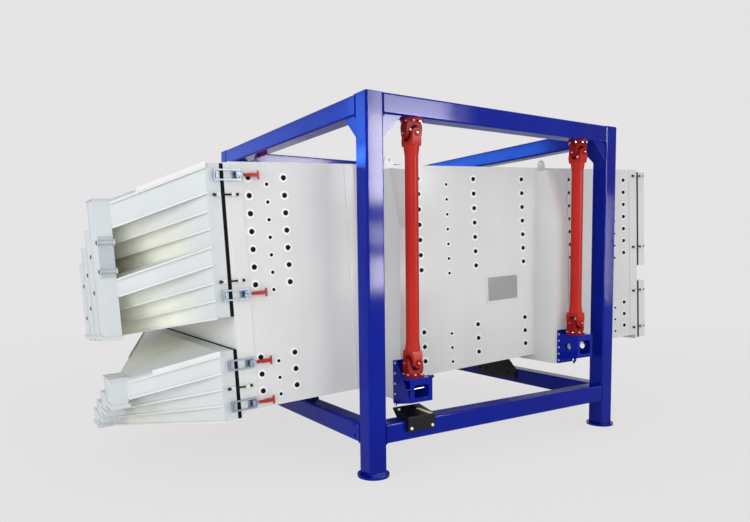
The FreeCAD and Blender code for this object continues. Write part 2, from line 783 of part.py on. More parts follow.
# Vibration drive
def belt_loop(r_driven, r_motor, thickness, height, v):
    """Loop round two circles of different size, joined by their outer tangents."""
    def hull(extra):
        a = r_driven + extra
        c = r_motor + extra
        lean = math.asin((a - c) / abs(motor_w))
        s, k = math.sin(lean), math.cos(lean)
        tangent = [(a * k, -a * s, v), (c * k, motor_w - c * s, v),
                   (-c * k, motor_w - c * s, v), (-a * k, -a * s, v)]
        return fuse([cylinder(2 * a, height, (0, 0, v)), cylinder(2 * c, height, (0, motor_w, v)),
                     prism(tangent, (0, 0, height))])
    return hull(thickness).cut(hull(0.0))


def grooved(diameter, bore, centre):
    wheel = cylinder(diameter, pulley_h, (centre[0], centre[1], pulley_v))
    grooves = []
    for i in (-0.5, 0.5):
        mid = pulley_v + pulley_h / 2 + i * belt_pitch
        depth = belt_t + belt_fit
        band = cylinder(diameter + 1, belt_h + 2 * belt_fit, (centre[0], centre[1], mid - belt_h / 2 - belt_fit))
        core = cylinder(diameter - 2 * depth, belt_h + 2 * belt_fit,
                        (centre[0], centre[1], mid - belt_h / 2 - belt_fit))
        grooves.append(band.cut(core))
    return cut(wheel, grooves + [cylinder(bore, pulley_h, (centre[0], centre[1], pulley_v))])


def build_drive():
    low = bay_floor_v
    high = bay_top_v - bay_plate_t
    rings = []
    for v in (low, high - bearing_h):
        housing = cylinder(bearing_d, bearing_h, (0, 0, v))
        rings.append(housing.cut(cylinder(shaft_d + 2 * bearing_bore_clearance, bearing_h, (0, 0, v))))
    add_on_box("shaft_bearings", rings)
    add_on_box("eccentric_shaft", cylinder(shaft_d, high - low - 2 * shaft_end_gap, (0, 0, low + shaft_end_gap)))
    weights = []
    for v in weight_v:
        disc = cylinder(2 * weight_r, weight_h, (0, 0, v))
        half = box((0, -weight_r, v), (weight_r, weight_r, v + weight_h))
        hub = cylinder(weight_hub_d, weight_h, (0, 0, v))
        bore = cylinder(shaft_d, weight_h, (0, 0, v))
        weights.append(fuse([disc.common(half), hub]).cut(bore))
    add_on_box("eccentric_weights", weights)
    add_on_box("driven_pulley", grooved(pulley_d, shaft_d, (0, 0)))
    motor_top = low + motor_h
    stub_v = motor_top - motor_shaft_seat
    stub = cylinder(motor_shaft_d, pulley_v + pulley_h - stub_v, (0, motor_w, stub_v))
    add_on_box("motor_pulley", fuse([grooved(motor_pulley_d, motor_shaft_d, (0, motor_w)), stub]))
    belts = []
    for i in (-0.5, 0.5):
        mid = pulley_v + pulley_h / 2 + i * belt_pitch
        belts.append(belt_loop(pulley_d / 2 - belt_t, motor_pulley_d / 2 - belt_t, belt_t, belt_h,
                               mid - belt_h / 2))
    add_on_box("drive_belts", belts)
    body = cylinder(motor_d, motor_h, (0, motor_w, low))
    foot = box((-motor_foot / 2, motor_w - motor_foot / 2, low),
               (motor_foot / 2, motor_w + motor_foot / 2, low + motor_foot_t))
    mid = low + motor_h / 2
    terminal = box((0, motor_w - terminal_box / 2, mid - terminal_box / 2),
                   (motor_d / 2 + terminal_box / 2, motor_w + terminal_box / 2, mid + terminal_box / 2))
    socket = cylinder(motor_shaft_d + 2 * bearing_bore_clearance, motor_shaft_seat + bearing_bore_clearance,
                      (0, motor_w, stub_v - bearing_bore_clearance))
    add_on_box("drive_motor", fuse([body, foot, terminal]).cut(socket))


# Toggle clamps. One clamp is built for the near discharge edge with its pivot at u = v = 0.
def clamp_solids():
    """Base with two ears and a pin, lever that turns on the pin, loop link on the lever, catch on the hood."""
    seat_w = -half_w - doubler_t
    plate_w = seat_w - clamp_base_t
    pivot_w = -half_w - clamp_pivot_out
    top_w = pivot_w - clamp_ear_r
    pieces = [box((-clamp_base_u / 2, plate_w, -clamp_base_v / 2),
                  (clamp_base_u / 2, seat_w, clamp_base_v / 2)),
              cylinder(clamp_pin_d - 2 * clamp_pin_clearance, clamp_ear_gap + clamp_ear_t,
                       (0, pivot_w, -(clamp_ear_gap + clamp_ear_t) / 2))]
    for s in NEAR_FAR:
        v = min(s * clamp_ear_gap / 2, s * (clamp_ear_gap / 2 + clamp_ear_t))
        pieces.append(prism([(-2 * clamp_ear_r, plate_w, v), (clamp_ear_r, plate_w, v),
                             (clamp_ear_r, pivot_w, v), (clamp_ear_r / 2, top_w, v),
                             (-clamp_ear_r / 2, top_w, v), (-clamp_ear_r, pivot_w, v)],
                            (0, 0, clamp_ear_t)))
    base = fuse(pieces)
    hub_half = clamp_ear_gap / 2 - clamp_hub_gap
    link_w = pivot_w + link_offset_w
    bore_v = -hub_half
    arm = box((-clamp_hub_r, pivot_w - clamp_hub_r, -hub_half),
              (link_offset_u + clamp_hub_r, link_w + clamp_hub_r, hub_half))
    handle = box((0, pivot_w - lever_t / 2, -lever_w / 2), (lever_length, pivot_w + lever_t / 2, lever_w / 2))
    grip = box((lever_length - lever_grip, pivot_w - lever_t, -hub_half),
               (lever_length, pivot_w + lever_t, hub_half))
    fork_end = box((lever_length - lever_fork_t, pivot_w - lever_t, -lever_fork / 2),
                   (lever_length, pivot_w + lever_t, lever_fork / 2))
    lever = fuse([arm, handle, grip, fork_end]).cut(fuse([
        cylinder(clamp_pin_d, 2 * hub_half, (0, pivot_w, bore_v)),
        cylinder(clamp_pin_d, 2 * hub_half, (link_offset_u, link_w, bore_v))]))
    bar = link_bar / 2
    catch_face = -clamp_pivot_back - seal_t - catch_back
    far_u = catch_face - catch_gap - bar
    sides = []
    for s in NEAR_FAR:
        v = s * link_half_v
        sides.append(box((far_u - bar, link_w - bar, v - bar), (link_offset_u + bar, link_w + bar, v + bar)))
    link = fuse(sides + [
        box((far_u - bar, link_w - bar, -link_half_v), (far_u + bar, link_w + bar, link_half_v)),
        cylinder(clamp_pin_d - 2 * clamp_pin_clearance, 2 * link_half_v, (link_offset_u, link_w, -link_half_v))])
    catch = box((catch_face, -half_w - catch_h, -catch_v / 2), (catch_face + catch_u, -half_w, catch_v / 2))
    return base, lever, link, catch


def build_clamps():
    fixed = []
    for side, where in ((-1, "near"), (1, "far")):
        placed = []
        for v in clamp_v:
            solids = [moved(shape, (discharge_u + clamp_pivot_back, 0, v)) for shape in clamp_solids()]
            placed.append([mirrored_y(shape) if side > 0 else shape for shape in solids])
        add_on_box("clamp_levers_" + where + "_discharge", [solids[1] for solids in placed])
        add_on_box("clamp_links_" + where + "_discharge", [solids[2] for solids in placed])
        fixed += [solids[i] for solids in placed for i in (0, 3)]
    add_on_box("clamp_bases", fixed)


# Bolt locks
def lock_solids(face_u, outward):
    """Block on the box, block across the seal, and the bolt through both, for a joint face at face_u."""
    far_u = face_u + outward * seal_t
    near_block = sorted((face_u - outward * lock_set_back, face_u - outward * (lock_set_back + lock_block)))
    far_block = sorted((far_u + outward * lock_set_out, far_u + outward * (lock_set_out + lock_block)))
    top_w = -half_w - lock_block
    bolt_w = -half_w - lock_block / 2 - doubler_t / 2
    low = min(near_block[0], far_block[0]) - lock_tail
    high = max(near_block[1], far_block[1]) + lock_tail
    bolt = fuse([cylinder(lock_bolt_d, high - low, (low, bolt_w, 0), X_AXIS),
                 cylinder(lock_head_d, lock_head_t, (low, bolt_w, 0), X_AXIS),
                 cylinder(lock_head_d, lock_head_t, (high - lock_head_t, bolt_w, 0), X_AXIS)])
    bore = cylinder(lock_bolt_d, high - low, (low, bolt_w, 0), X_AXIS)
    blocks = []
    for (u0, u1), seat in ((near_block, -half_w - doubler_t), (far_block, -half_w)):
        blocks.append(box((u0, top_w, -lock_block / 2), (u1, seat, lock_block / 2)).cut(bore))
    return blocks, bolt


def build_locks():
    blocks = []
    bolts = []
    for face_u, outward, levels in ((discharge_u, -1, hood_lock_v), (feed_u, 1, door_lock_v)):
        box_blocks, bolt = lock_solids(face_u, outward)
        for v in levels:
            for side in NEAR_FAR:
                for shape, where in [(block, blocks) for block in box_blocks] + [(bolt, bolts)]:
                    placed = moved(shape, (0, 0, v))
                    where.append(mirrored_y(placed) if side > 0 else placed)
    add_on_box("lock_blocks", blocks)
    add_on_box("lock_bolts", bolts)


build_frame()
build_stops()
build_rods()
build_walls()
build_cover_and_floor()
build_end_frames()
build_seals()
build_decks()
build_hoods()
build_doors()
build_columns()
build_drive()
build_clamps()
build_locks()

os.makedirs("parts", exist_ok=True)
for node, solids in parts.items():
    shape = Part.makeCompound(solids) if len(solids) > 1 else solids[0]
    shape.exportStep("parts/" + node + ".step")
    print(node, len(shape.Solids), "solids, valid", shape.isValid())
print(len(parts), "nodes")
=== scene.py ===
# %% [markdown]
# # A square tumbler screen
# The real machine sorts powder and grain: a long box full of sieves hangs on four cardan rods from a
# post frame and swings in a small flat circle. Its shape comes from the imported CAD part, which Blender
# only loads. This notebook adds what the CAD part leaves out, such as plugs, bolts and welds, and gives
# every surface a finish that is worked out by nodes.

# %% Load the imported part
import json
import math

import bmesh
import bpy
from mathutils import Matrix, Vector

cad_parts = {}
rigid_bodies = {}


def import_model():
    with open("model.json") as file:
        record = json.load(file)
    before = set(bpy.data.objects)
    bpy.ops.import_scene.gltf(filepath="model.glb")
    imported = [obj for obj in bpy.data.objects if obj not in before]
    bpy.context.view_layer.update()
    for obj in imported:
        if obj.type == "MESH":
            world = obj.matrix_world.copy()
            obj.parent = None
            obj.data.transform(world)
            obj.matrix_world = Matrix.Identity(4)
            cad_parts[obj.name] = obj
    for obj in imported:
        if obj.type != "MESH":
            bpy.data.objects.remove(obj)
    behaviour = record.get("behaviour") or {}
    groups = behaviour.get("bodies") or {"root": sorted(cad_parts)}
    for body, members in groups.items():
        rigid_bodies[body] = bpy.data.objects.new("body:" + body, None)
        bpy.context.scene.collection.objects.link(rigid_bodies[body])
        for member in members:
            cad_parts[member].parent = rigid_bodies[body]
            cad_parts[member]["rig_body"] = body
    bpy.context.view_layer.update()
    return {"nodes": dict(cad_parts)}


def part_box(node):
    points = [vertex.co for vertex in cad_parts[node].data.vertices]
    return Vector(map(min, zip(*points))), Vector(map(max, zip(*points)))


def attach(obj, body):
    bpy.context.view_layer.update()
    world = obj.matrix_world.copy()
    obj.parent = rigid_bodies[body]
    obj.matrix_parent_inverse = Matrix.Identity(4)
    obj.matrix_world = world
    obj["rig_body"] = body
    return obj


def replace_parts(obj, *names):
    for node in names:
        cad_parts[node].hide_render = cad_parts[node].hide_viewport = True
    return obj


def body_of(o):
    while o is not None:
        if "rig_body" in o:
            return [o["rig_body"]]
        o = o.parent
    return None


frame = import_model()
nodes = frame["nodes"]

# %% [markdown]
# ## The box's own coordinates
# The screen box leans by a few degrees so that the product runs towards the hoods. Places on the box are
# easier to say along the box (u), across it (w) and up from its middle (v), all in metres, and one matrix
# carries them into the frame.

# %% Box coordinates
BOX_SLOPE = math.radians(2.75)
BOX_CENTRE = Vector((0.045, 0.0, 1.635))
BOX = Matrix.Translation(BOX_CENTRE) @ Matrix.Rotation(-BOX_SLOPE, 4, "Y")
BOX_TURN = BOX.to_3x3()
BOX_UP = (BOX_TURN @ Vector((0, 0, 1))).normalized()
HALF_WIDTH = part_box("top_cover")[1].y
SIDES = {"near": -1, "far": 1}


def on_box(u, w, v):
    return BOX @ Vector((u, w, v))


print("side walls at", round(HALF_WIDTH, 3), "m from the middle")

# %% [markdown]
# ## Shader maths as plain expressions
# A finish is a small sum over noise patterns. Blender does such sums with Math nodes, which are slow to
# read when they are wired by hand. A small class wraps one socket, so that `1 - dirt * 0.3` adds the
# nodes itself, and one function makes any other node.

# %% A socket that can be added and multiplied
class Amount:
    """A number that changes over a surface: one output socket inside a node tree."""

    def __init__(self, tree, socket):
        self.tree = tree
        self.socket = socket

    def _with(self, operation, first, second):
        made = add_node(self.tree, "ShaderNodeMath", {"operation": operation}, {0: first, 1: second})
        return Amount(self.tree, made.outputs[0])

    def __add__(self, other):
        return self._with("ADD", self, other)

    def __sub__(self, other):
        return self._with("SUBTRACT", self, other)

    def __rsub__(self, other):
        return self._with("SUBTRACT", other, self)

    def __mul__(self, other):
        return self._with("MULTIPLY", self, other)

    def size(self):
        return self._with("ABSOLUTE", self, 0.0)

    def above(self, edge):
        return self._with("GREATER_THAN", self, edge)

    def limited(self):
        """The same number kept between 0 and 1."""
        made = add_node(self.tree, "ShaderNodeClamp", None, {"Value": self})
        return Amount(self.tree, made.outputs[0])

    __radd__ = __add__
    __rmul__ = __mul__


def fill_ramp(ramp, stops):
    for (place, level), element in zip(stops, ramp.elements):
        element.position = place
        element.color = (level, level, level, 1)


def add_node(tree, kind, settings=None, inputs=None):
    """Makes a node, sets its own settings first, then fills its inputs with values or links."""
    made = tree.nodes.new(kind)
    for name, value in (settings or {}).items():
        if name == "stops":
            fill_ramp(made.color_ramp, value)
        else:
            setattr(made, name, value)
    for name, value in (inputs or {}).items():
        if isinstance(value, Amount):
            tree.links.new(value.socket, made.inputs[name])
        elif isinstance(value, bpy.types.NodeSocket):
            tree.links.new(value, made.inputs[name])
        else:
            made.inputs[name].default_value = value
    return made


print("shader helpers ready")

# %% [markdown]
# ## Patterns that every finish shares
# Real paint is never one flat colour: it has slow changes of tone, a fine orange peel, and dust. Each is
# one noise pattern on Object coordinates, which stay with the piece when it moves. A ramp picks how much
# of the pattern shows.

# %% Patterns
def start_material(name):
    material = bpy.data.materials.new(name)
    material.use_nodes = True
    tree = material.node_tree
    shader = next(n for n in tree.nodes if n.type == "BSDF_PRINCIPLED")
    place = add_node(tree, "ShaderNodeTexCoord").outputs["Object"]
    return material, tree, shader, place


def cloudy(tree, place, scale, detail=3.0, low=0.35, high=0.65):
    noise = add_node(tree, "ShaderNodeTexNoise", None, {"Vector": place, "Scale": scale, "Detail": detail})
    ramp = add_node(tree, "ShaderNodeValToRGB", {"stops": [(low, 0.0), (high, 1.0)]},
                    {"Fac": noise.outputs[0]})
    return Amount(tree, ramp.outputs[0])


def streaked(tree, place, stretch, scale, low=0.4, high=0.7):
    lay = add_node(tree, "ShaderNodeMapping", None, {"Vector": place, "Scale": stretch})
    return cloudy(tree, lay.outputs[0], scale, 4.0, low, high)


def rgba(colour):
    return (*colour, 1.0)


def blend_colours(tree, amount, first, second):
    """Mixes two colours, each of them three numbers or a socket."""
    first, second = (rgba(c) if isinstance(c, tuple) else c for c in (first, second))
    mix = add_node(tree, "ShaderNodeMix", {"data_type": "RGBA"}, {0: amount, 6: first, 7: second})
    return mix.outputs[2]


def roughen(tree, shader, height, strength, distance):
    bump = add_node(tree, "ShaderNodeBump", None,
                    {"Height": height, "Strength": strength, "Distance": distance})
    tree.links.new(bump.outputs[0], shader.inputs["Normal"])


print("pattern helpers ready")

# %% [markdown]
# ## Paint
# The frame, the rods and the sheet metal are all painted. One function makes them: a body colour, a
# second tone that drifts in slowly, a little settled dust, and an orange peel in the bump. The gloss
# changes a little with the same dust, as it does on a real machine.

# %% Paint function
DRIFT_SCALE = 1.7
PEEL_SCALE, PEEL_DEPTH = 420.0, 0.0004
DUST_AMOUNT, DUST_DULLING = 0.2, 0.025


def orange_peel(tree, shader, place, strength):
    """The fine dimples that a spray gun leaves, less than half a millimetre deep."""
    roughen(tree, shader, cloudy(tree, place, PEEL_SCALE, 2.0, 0.2, 0.8).socket, strength, PEEL_DEPTH)


def paint(name, body, tone, dust, gloss, shine=0.25, peel=0.12):
    material, tree, shader, place = start_material(name)
    drift = cloudy(tree, place, DRIFT_SCALE)
    settled = streaked(tree, place, (1.0, 1.0, 0.25), 6.0, 0.45, 0.75)
    toned = blend_colours(tree, drift, body, tone)
    dusty = blend_colours(tree, settled * DUST_AMOUNT, toned, dust)
    tree.links.new(dusty, shader.inputs["Base Color"])
    tree.links.new((settled * DUST_DULLING + gloss).socket, shader.inputs["Roughness"])
    orange_peel(tree, shader, place, peel)
    shader.inputs["Specular IOR Level"].default_value = shine
    return material


print("paint function ready")

# %% Paints
frame_blue = paint("frame_blue", (0.0015, 0.0115, 0.290), (0.0010, 0.0080, 0.235), (0.012, 0.026, 0.270),
                   0.09, 0.11, peel=0.05)
rod_red = paint("rod_red", (0.500, 0.028, 0.020), (0.420, 0.018, 0.014), (0.44, 0.06, 0.05), 0.26, 0.04)
# A darker copy of the rod red for the flange yokes and bearing caps: the darkening is painted shade.
shaded_yoke_red = paint("shaded_yoke_red", (0.300, 0.012, 0.009), (0.230, 0.008, 0.006), (0.30, 0.03, 0.03), 0.30, 0.03)
box_white = paint("box_white", (0.735, 0.738, 0.722), (0.700, 0.704, 0.688), (0.62, 0.61, 0.58), 0.17, 0.07,
                  peel=0.05)
washer_white = paint("washer_white", (0.900, 0.900, 0.890), (0.860, 0.860, 0.850), (0.70, 0.70, 0.68), 0.35)
door_grey = paint("door_grey", (0.465, 0.510, 0.545), (0.430, 0.475, 0.505), (0.48, 0.48, 0.48), 0.40)
cover_grey = paint("cover_grey", (0.305, 0.292, 0.292), (0.275, 0.265, 0.265), (0.38, 0.38, 0.37), 0.45)
stop_black = paint("stop_black", (0.004, 0.004, 0.005), (0.008, 0.008, 0.009), (0.03, 0.03, 0.03), 0.38, 0.15)
grip_red = paint("grip_red", (0.420, 0.012, 0.016), (0.340, 0.010, 0.012), (0.40, 0.06, 0.06), 0.28)
mark_yellow = paint("mark_yellow", (0.850, 0.830, 0.480), (0.780, 0.750, 0.400), (0.70, 0.68, 0.50), 0.45)
print(len(bpy.data.materials), "paints")

# %% [markdown]
# ## Paint that depends on the place
# The hoods carry painted shade behind the outline of the trays: an olive tint that stands in for the shade in
# the recesses, lighter than the outer paint so that it also lifts them. Box coordinates are worked out in the
# shader from Object coordinates, so that the tint knows how deep it is behind the outline. The clamp levers
# use the same trick for their red grips.

# %% Box coordinates in a shader
def box_amounts(tree, place):
    split = add_node(tree, "ShaderNodeSeparateXYZ", None, {0: place})
    x, y, z = (Amount(tree, socket) for socket in split.outputs)
    cos, sin = math.cos(BOX_SLOPE), math.sin(BOX_SLOPE)
    along = (x - BOX_CENTRE.x) * cos + (z - BOX_CENTRE.z) * sin
    up = (z - BOX_CENTRE.z) * cos - (x - BOX_CENTRE.x) * sin
    return along, y.size(), up


print("box coordinates ready in shaders too")

# %% Hood paint
HOOD_START_U, DUCT_U = -2.580, -3.145
OUTLINE_HALF_WIDTH, OUTLINE_TAPER = 1.06, 0.6
# Where the painted shade tint starts behind the base frame.
SHADE_START_U = -2.56
DUCT_SKIN = 0.004
LOWER_ROOF_V = -0.440
UPPER_FADE, LOWER_FADE = 5.0, 1.4


def hood_paint():
    """White outside; a painted olive shade tint, lighter than the outer paint, where the place lies deep
    behind the narrowing outline of the trays.
    """
    material, tree, shader, place = start_material("hood_white")
    along, across, up = box_amounts(tree, place)
    narrowing = (HOOD_START_U - along) * (OUTLINE_TAPER / (HOOD_START_U - DUCT_U))
    depth = (OUTLINE_HALF_WIDTH - narrowing - across).limited()
    # Painted shade: the tint grows with depth behind the outline, and slowly on the lower roof, as a painted
    # gradient of the upper hood's shadow.
    fade = (LOWER_ROOF_V - up).above(0.0) * (LOWER_FADE - UPPER_FADE) + UPPER_FADE
    behind_frame = (SHADE_START_U - along).above(0.0)
    before_ducts = (along - DUCT_U).above(-DUCT_SKIN)
    inside = (depth * fade).limited() * behind_frame * before_ducts
    shade_mottle = cloudy(tree, place, 5.0, 5.0, 0.25, 0.7)
    drift = cloudy(tree, place, DRIFT_SCALE)
    clean = blend_colours(tree, drift, (0.630, 0.660, 0.672), (0.600, 0.632, 0.638))
    # The tint is lighter than the outer paint: painted light that lifts the recesses, as well as painted
    # shade.
    painted_shade_tint = blend_colours(tree, shade_mottle, (0.82, 0.83, 0.755), (0.75, 0.76, 0.635))
    tree.links.new(blend_colours(tree, inside, clean, painted_shade_tint), shader.inputs["Base Color"])
    tree.links.new((inside * 0.2 + drift * 0.06 + 0.34).socket, shader.inputs["Roughness"])
    orange_peel(tree, shader, place, 0.1)
    shader.inputs["Specular IOR Level"].default_value = 0.2
    return material


hood_white = hood_paint()
print("hood paint ready")

# %% [markdown]
# ## Rubber, steel and castings
# Seals and plugs are rubber: dark, dull and faintly mottled. Bolts, clamps and screen cloth are plated
# or bare steel, whose colour stays but whose roughness changes in brushed streaks. The drive parts are
# grey castings with a sandy skin.

# %% Rubber and metal functions
def rubber(name, body, tone):
    material, tree, shader, place = start_material(name)
    drift = cloudy(tree, place, 14.0)
    tree.links.new(blend_colours(tree, drift, body, tone), shader.inputs["Base Color"])
    tree.links.new((drift * 0.15 + 0.55).socket, shader.inputs["Roughness"])
    roughen(tree, shader, cloudy(tree, place, 300.0).socket, 0.3, 0.0003)
    shader.inputs["Specular IOR Level"].default_value = 0.05
    return material


def steel(name, body, tone, roughness, grain=(1.0, 1.0, 12.0), spread=0.16):
    material, tree, shader, place = start_material(name)
    brushed = streaked(tree, place, grain, 30.0, 0.3, 0.7)
    tree.links.new(blend_colours(tree, brushed, body, tone), shader.inputs["Base Color"])
    tree.links.new((brushed * spread + roughness).socket, shader.inputs["Roughness"])
    shader.inputs["Metallic"].default_value = 1.0
    roughen(tree, shader, brushed.socket, 0.12, 0.0003)
    return material


def casting(name, body, tone):
    material, tree, shader, place = start_material(name)
    sand = cloudy(tree, place, 160.0, 5.0, 0.25, 0.75)
    tree.links.new(blend_colours(tree, sand, body, tone), shader.inputs["Base Color"])
    tree.links.new((sand * 0.2 + 0.5).socket, shader.inputs["Roughness"])
    shader.inputs["Metallic"].default_value = 0.4
    roughen(tree, shader, sand.socket, 0.5, 0.0008)
    return material


print("rubber, steel and casting functions ready")

# %% Rubber and metals
seal_black = rubber("seal_black", (0.003, 0.003, 0.003), (0.006, 0.006, 0.006))
plug_black = rubber("plug_black", (0.003, 0.003, 0.004), (0.008, 0.008, 0.009))
belt_black = rubber("belt_black", (0.014, 0.014, 0.014), (0.030, 0.030, 0.030))
# The crosses' steel is darkened so that it paints the shade in the gaps between the ears.
cross_steel = steel("cross_steel", (0.05, 0.05, 0.055), (0.11, 0.11, 0.115), 0.40)
bolt_steel = steel("bolt_steel", (0.72, 0.73, 0.74), (0.84, 0.84, 0.84), 0.30)
turned_steel = steel("turned_steel", (0.45, 0.46, 0.48), (0.58, 0.59, 0.60), 0.28)
cloth_steel = steel("cloth_steel", (0.52, 0.53, 0.54), (0.66, 0.67, 0.68), 0.40, (60.0, 60.0, 1.0))
bar_steel = steel("bar_steel", (0.48, 0.49, 0.50), (0.60, 0.61, 0.61), 0.42)
drive_iron = casting("drive_iron", (0.055, 0.060, 0.066), (0.095, 0.100, 0.108))
clamp_steel = steel("clamp_steel", (0.17, 0.22, 0.28), (0.42, 0.48, 0.56), 0.24, (30.0, 30.0, 30.0))
bronze_pin = steel("bronze_pin", (0.11, 0.045, 0.03), (0.22, 0.09, 0.05), 0.45)
print(len(bpy.data.materials), "finishes so far")

# %% Lever finish
GRIP_START_U = -2.300


def lever_finish():
    """Blue plated steel near the pivot, red plastic from the middle to the end."""
    material, tree, shader, place = start_material("lever_finish")
    along, across, up = box_amounts(tree, place)
    grip = (along - GRIP_START_U).above(0.0)
    wear = cloudy(tree, place, 40.0)
    metal = blend_colours(tree, wear, (0.17, 0.22, 0.28), (0.34, 0.40, 0.48))
    red = blend_colours(tree, wear, (0.420, 0.012, 0.016), (0.340, 0.010, 0.012))
    tree.links.new(blend_colours(tree, grip, metal, red), shader.inputs["Base Color"])
    tree.links.new((1.0 - grip).socket, shader.inputs["Metallic"])
    tree.links.new((wear * 0.1 + 0.26).socket, shader.inputs["Roughness"])
    return material


lever_red = lever_finish()
print(len(bpy.data.materials), "materials in all")

# %% [markdown]
# ## Finishes for the CAD nodes
# Each CAD node keeps its mesh and its place. Only the material in its slot is exchanged, so the finish
# follows the part wherever a pose takes it.

# %% Dress the CAD nodes
FINISHES = {
    frame_blue: ["corner_posts", "top_long_beams", "top_cross_beams", "bottom_long_beams",
                 "bottom_cross_beams", "haunch_gussets", "foot_plates", "rod_brackets"],
    stop_black: ["stop_brackets", "lock_bolts"],
    shaded_yoke_red: ["upper_flange_yokes", "lower_flange_yokes"],
    box_white: ["near_side_wall", "far_side_wall", "top_cover", "bottom_pan", "feed_inlet", "end_frames",
                "deck_rails", "drive_bay_plates", "upper_feed_door", "lower_feed_door",
                "suspension_columns", "cross_sills", "lifting_lugs", "lock_blocks"],
    hood_white: ["upper_hood", "lower_hood"],
    door_grey: ["duct_door"],
    cover_grey: ["inspection_covers"],
    seal_black: ["hood_and_door_seals"],
    bar_steel: ["screen_frames"],
    cloth_steel: ["screen_meshes"],
    drive_iron: ["shaft_bearings", "eccentric_weights", "driven_pulley", "motor_pulley", "drive_motor"],
    turned_steel: ["eccentric_shaft"],
    belt_black: ["drive_belts"],
    clamp_steel: ["clamp_bases"],
}
BY_PREFIX = {"hanger_rod_": rod_red, "top_cross_": cross_steel, "bottom_cross_": cross_steel,
             "clamp_levers_": lever_red, "clamp_links_": clamp_steel}


def dress(name, material):
    nodes[name].data.materials.clear()
    nodes[name].data.materials.append(material)


for material, names in FINISHES.items():
    for name in names:
        dress(name, material)
for name in nodes:
    for prefix, material in BY_PREFIX.items():
        if name.startswith(prefix) and not name.endswith("beams"):
            dress(name, material)
print("dressed", len(nodes), "nodes")

# %% [markdown]
# ## Rounded edges
# Square tube is rolled with rounded corners and castings have no sharp edge, and light shows it: every
# corner of the frame carries a thin bright line. The tubes and castings are shown by copies of their CAD
# nodes with a bevel, worked out once and kept as plain meshes. Weighted normals keep the flat faces flat,
# so that they mirror the windows without bending them. The CAD nodes stay for collision.

# %% Rounded copies
MERGE_DISTANCE = 0.00002
FLAT_ANGLE, EDGE_ANGLE = math.radians(1.0), math.radians(50)
ROUNDED = [(("corner_posts", "top_long_beams", "top_cross_beams", "bottom_long_beams",
             "bottom_cross_beams"), 0.009, frame_blue),
           (("rod_brackets",), 0.007, frame_blue),
           (("stop_brackets",), 0.004, stop_black),
           (("upper_flange_yokes", "lower_flange_yokes"), 0.006, shaded_yoke_red),
           (tuple(sorted(n for n in nodes if n.startswith("hanger_rod_"))), 0.009, rod_red)]


def add_object(name, data):
    made = bpy.data.objects.new(name, data)
    bpy.context.scene.collection.objects.link(made)
    return made


def plain_object(name, mesh, body):
    made = add_object(name, mesh)
    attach(made, body)
    return made


def worked_out(draft):
    """The plain mesh that a draft's modifiers give; the draft itself goes."""
    ready = draft.evaluated_get(bpy.context.evaluated_depsgraph_get())
    mesh = bpy.data.meshes.new_from_object(ready)
    bpy.data.objects.remove(draft)
    return mesh


def rounded_copy(name, radius, material):
    """Shows a CAD node by a copy whose edges are rounded to the radius."""
    mesh = nodes[name].data.copy()
    shape = bmesh.new()
    shape.from_mesh(mesh)
    bmesh.ops.remove_doubles(shape, verts=shape.verts, dist=MERGE_DISTANCE)
    bmesh.ops.dissolve_limit(shape, angle_limit=FLAT_ANGLE, verts=shape.verts, edges=shape.edges)
    shape.to_mesh(mesh)
    shape.free()
    for polygon in mesh.polygons:
        polygon.use_smooth = True
    draft = add_object(name + "_draft", mesh)
    bevel = draft.modifiers.new("Edges", "BEVEL")
    bevel.width = radius
    bevel.segments = 3
    bevel.limit_method = "ANGLE"
    bevel.angle_limit = EDGE_ANGLE
    flat_faces = draft.modifiers.new("Normals", "WEIGHTED_NORMAL")
    flat_faces.weight = 100
    flat_faces.keep_sharp = True
    final = worked_out(draft)
    final.materials.clear()
    final.materials.append(material)
    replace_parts(plain_object(name + "_rounded", final, body_of(nodes[name])[0]), name)
    print(name + "_rounded", len(final.polygons), "faces")


for names, radius, material in ROUNDED:
    for name in names:
        rounded_copy(name, radius, material)

# %% [markdown]
# ## One node tree for every fastener
# Plugs, bolts and pins are all the same idea: a head on a washer, set on a point and turned to face out
# of the surface. One Geometry Nodes tree does this for any cloud of points. Each point carries its own
# facing, the sizes are named inputs, and a fixed seed turns each head about its axis, because no fitter
# lines them up.

# %% Fastener tree
FASTENER_INPUTS = [("Head Radius", "NodeSocketFloat"), ("Head Top Radius", "NodeSocketFloat"),
                   ("Head Height", "NodeSocketFloat"), ("Head Sides", "NodeSocketInt"),
                   ("Washer Radius", "NodeSocketFloat"), ("Washer Height", "NodeSocketFloat"),
                   ("Seed", "NodeSocketInt"), ("Head Material", "NodeSocketMaterial"),
                   ("Washer Material", "NodeSocketMaterial")]
WASHER_SIDES = 20


def cone_on_points(tree, given, facing, radius, top_radius, height, base, sides, material):
    """One branch of the tree: a cone or cylinder on every point, facing out, with its material last."""
    cone = add_node(tree, "GeometryNodeMeshCone", None,
                    {"Vertices": sides, "Radius Bottom": radius, "Radius Top": top_radius, "Depth": height})
    lift = add_node(tree, "ShaderNodeCombineXYZ", None, {"Z": base})
    moved = add_node(tree, "GeometryNodeTransform", None,
                     {"Geometry": cone.outputs["Mesh"], "Translation": lift.outputs[0]})
    turn = add_node(tree, "FunctionNodeAlignRotationToVector", {"axis": "Z"}, {"Vector": facing})
    placed = add_node(tree, "GeometryNodeInstanceOnPoints", None,
                      {"Points": given.outputs["Geometry"], "Instance": moved.outputs[0],
                       "Rotation": turn.outputs[0]})
    chance = add_node(tree, "FunctionNodeRandomValue", {"data_type": "FLOAT"},
                      {2: 0.0, 3: math.tau, "Seed": given.outputs["Seed"]})
    spin = add_node(tree, "ShaderNodeCombineXYZ", None, {"Z": chance.outputs[1]})
    spun = add_node(tree, "GeometryNodeRotateInstances", None,
                    {"Instances": placed.outputs[0], "Rotation": spin.outputs[0]})
    real = add_node(tree, "GeometryNodeRealizeInstances", None, {"Geometry": spun.outputs[0]})
    return add_node(tree, "GeometryNodeSetMaterial", None,
                    {"Geometry": real.outputs[0], "Material": material})


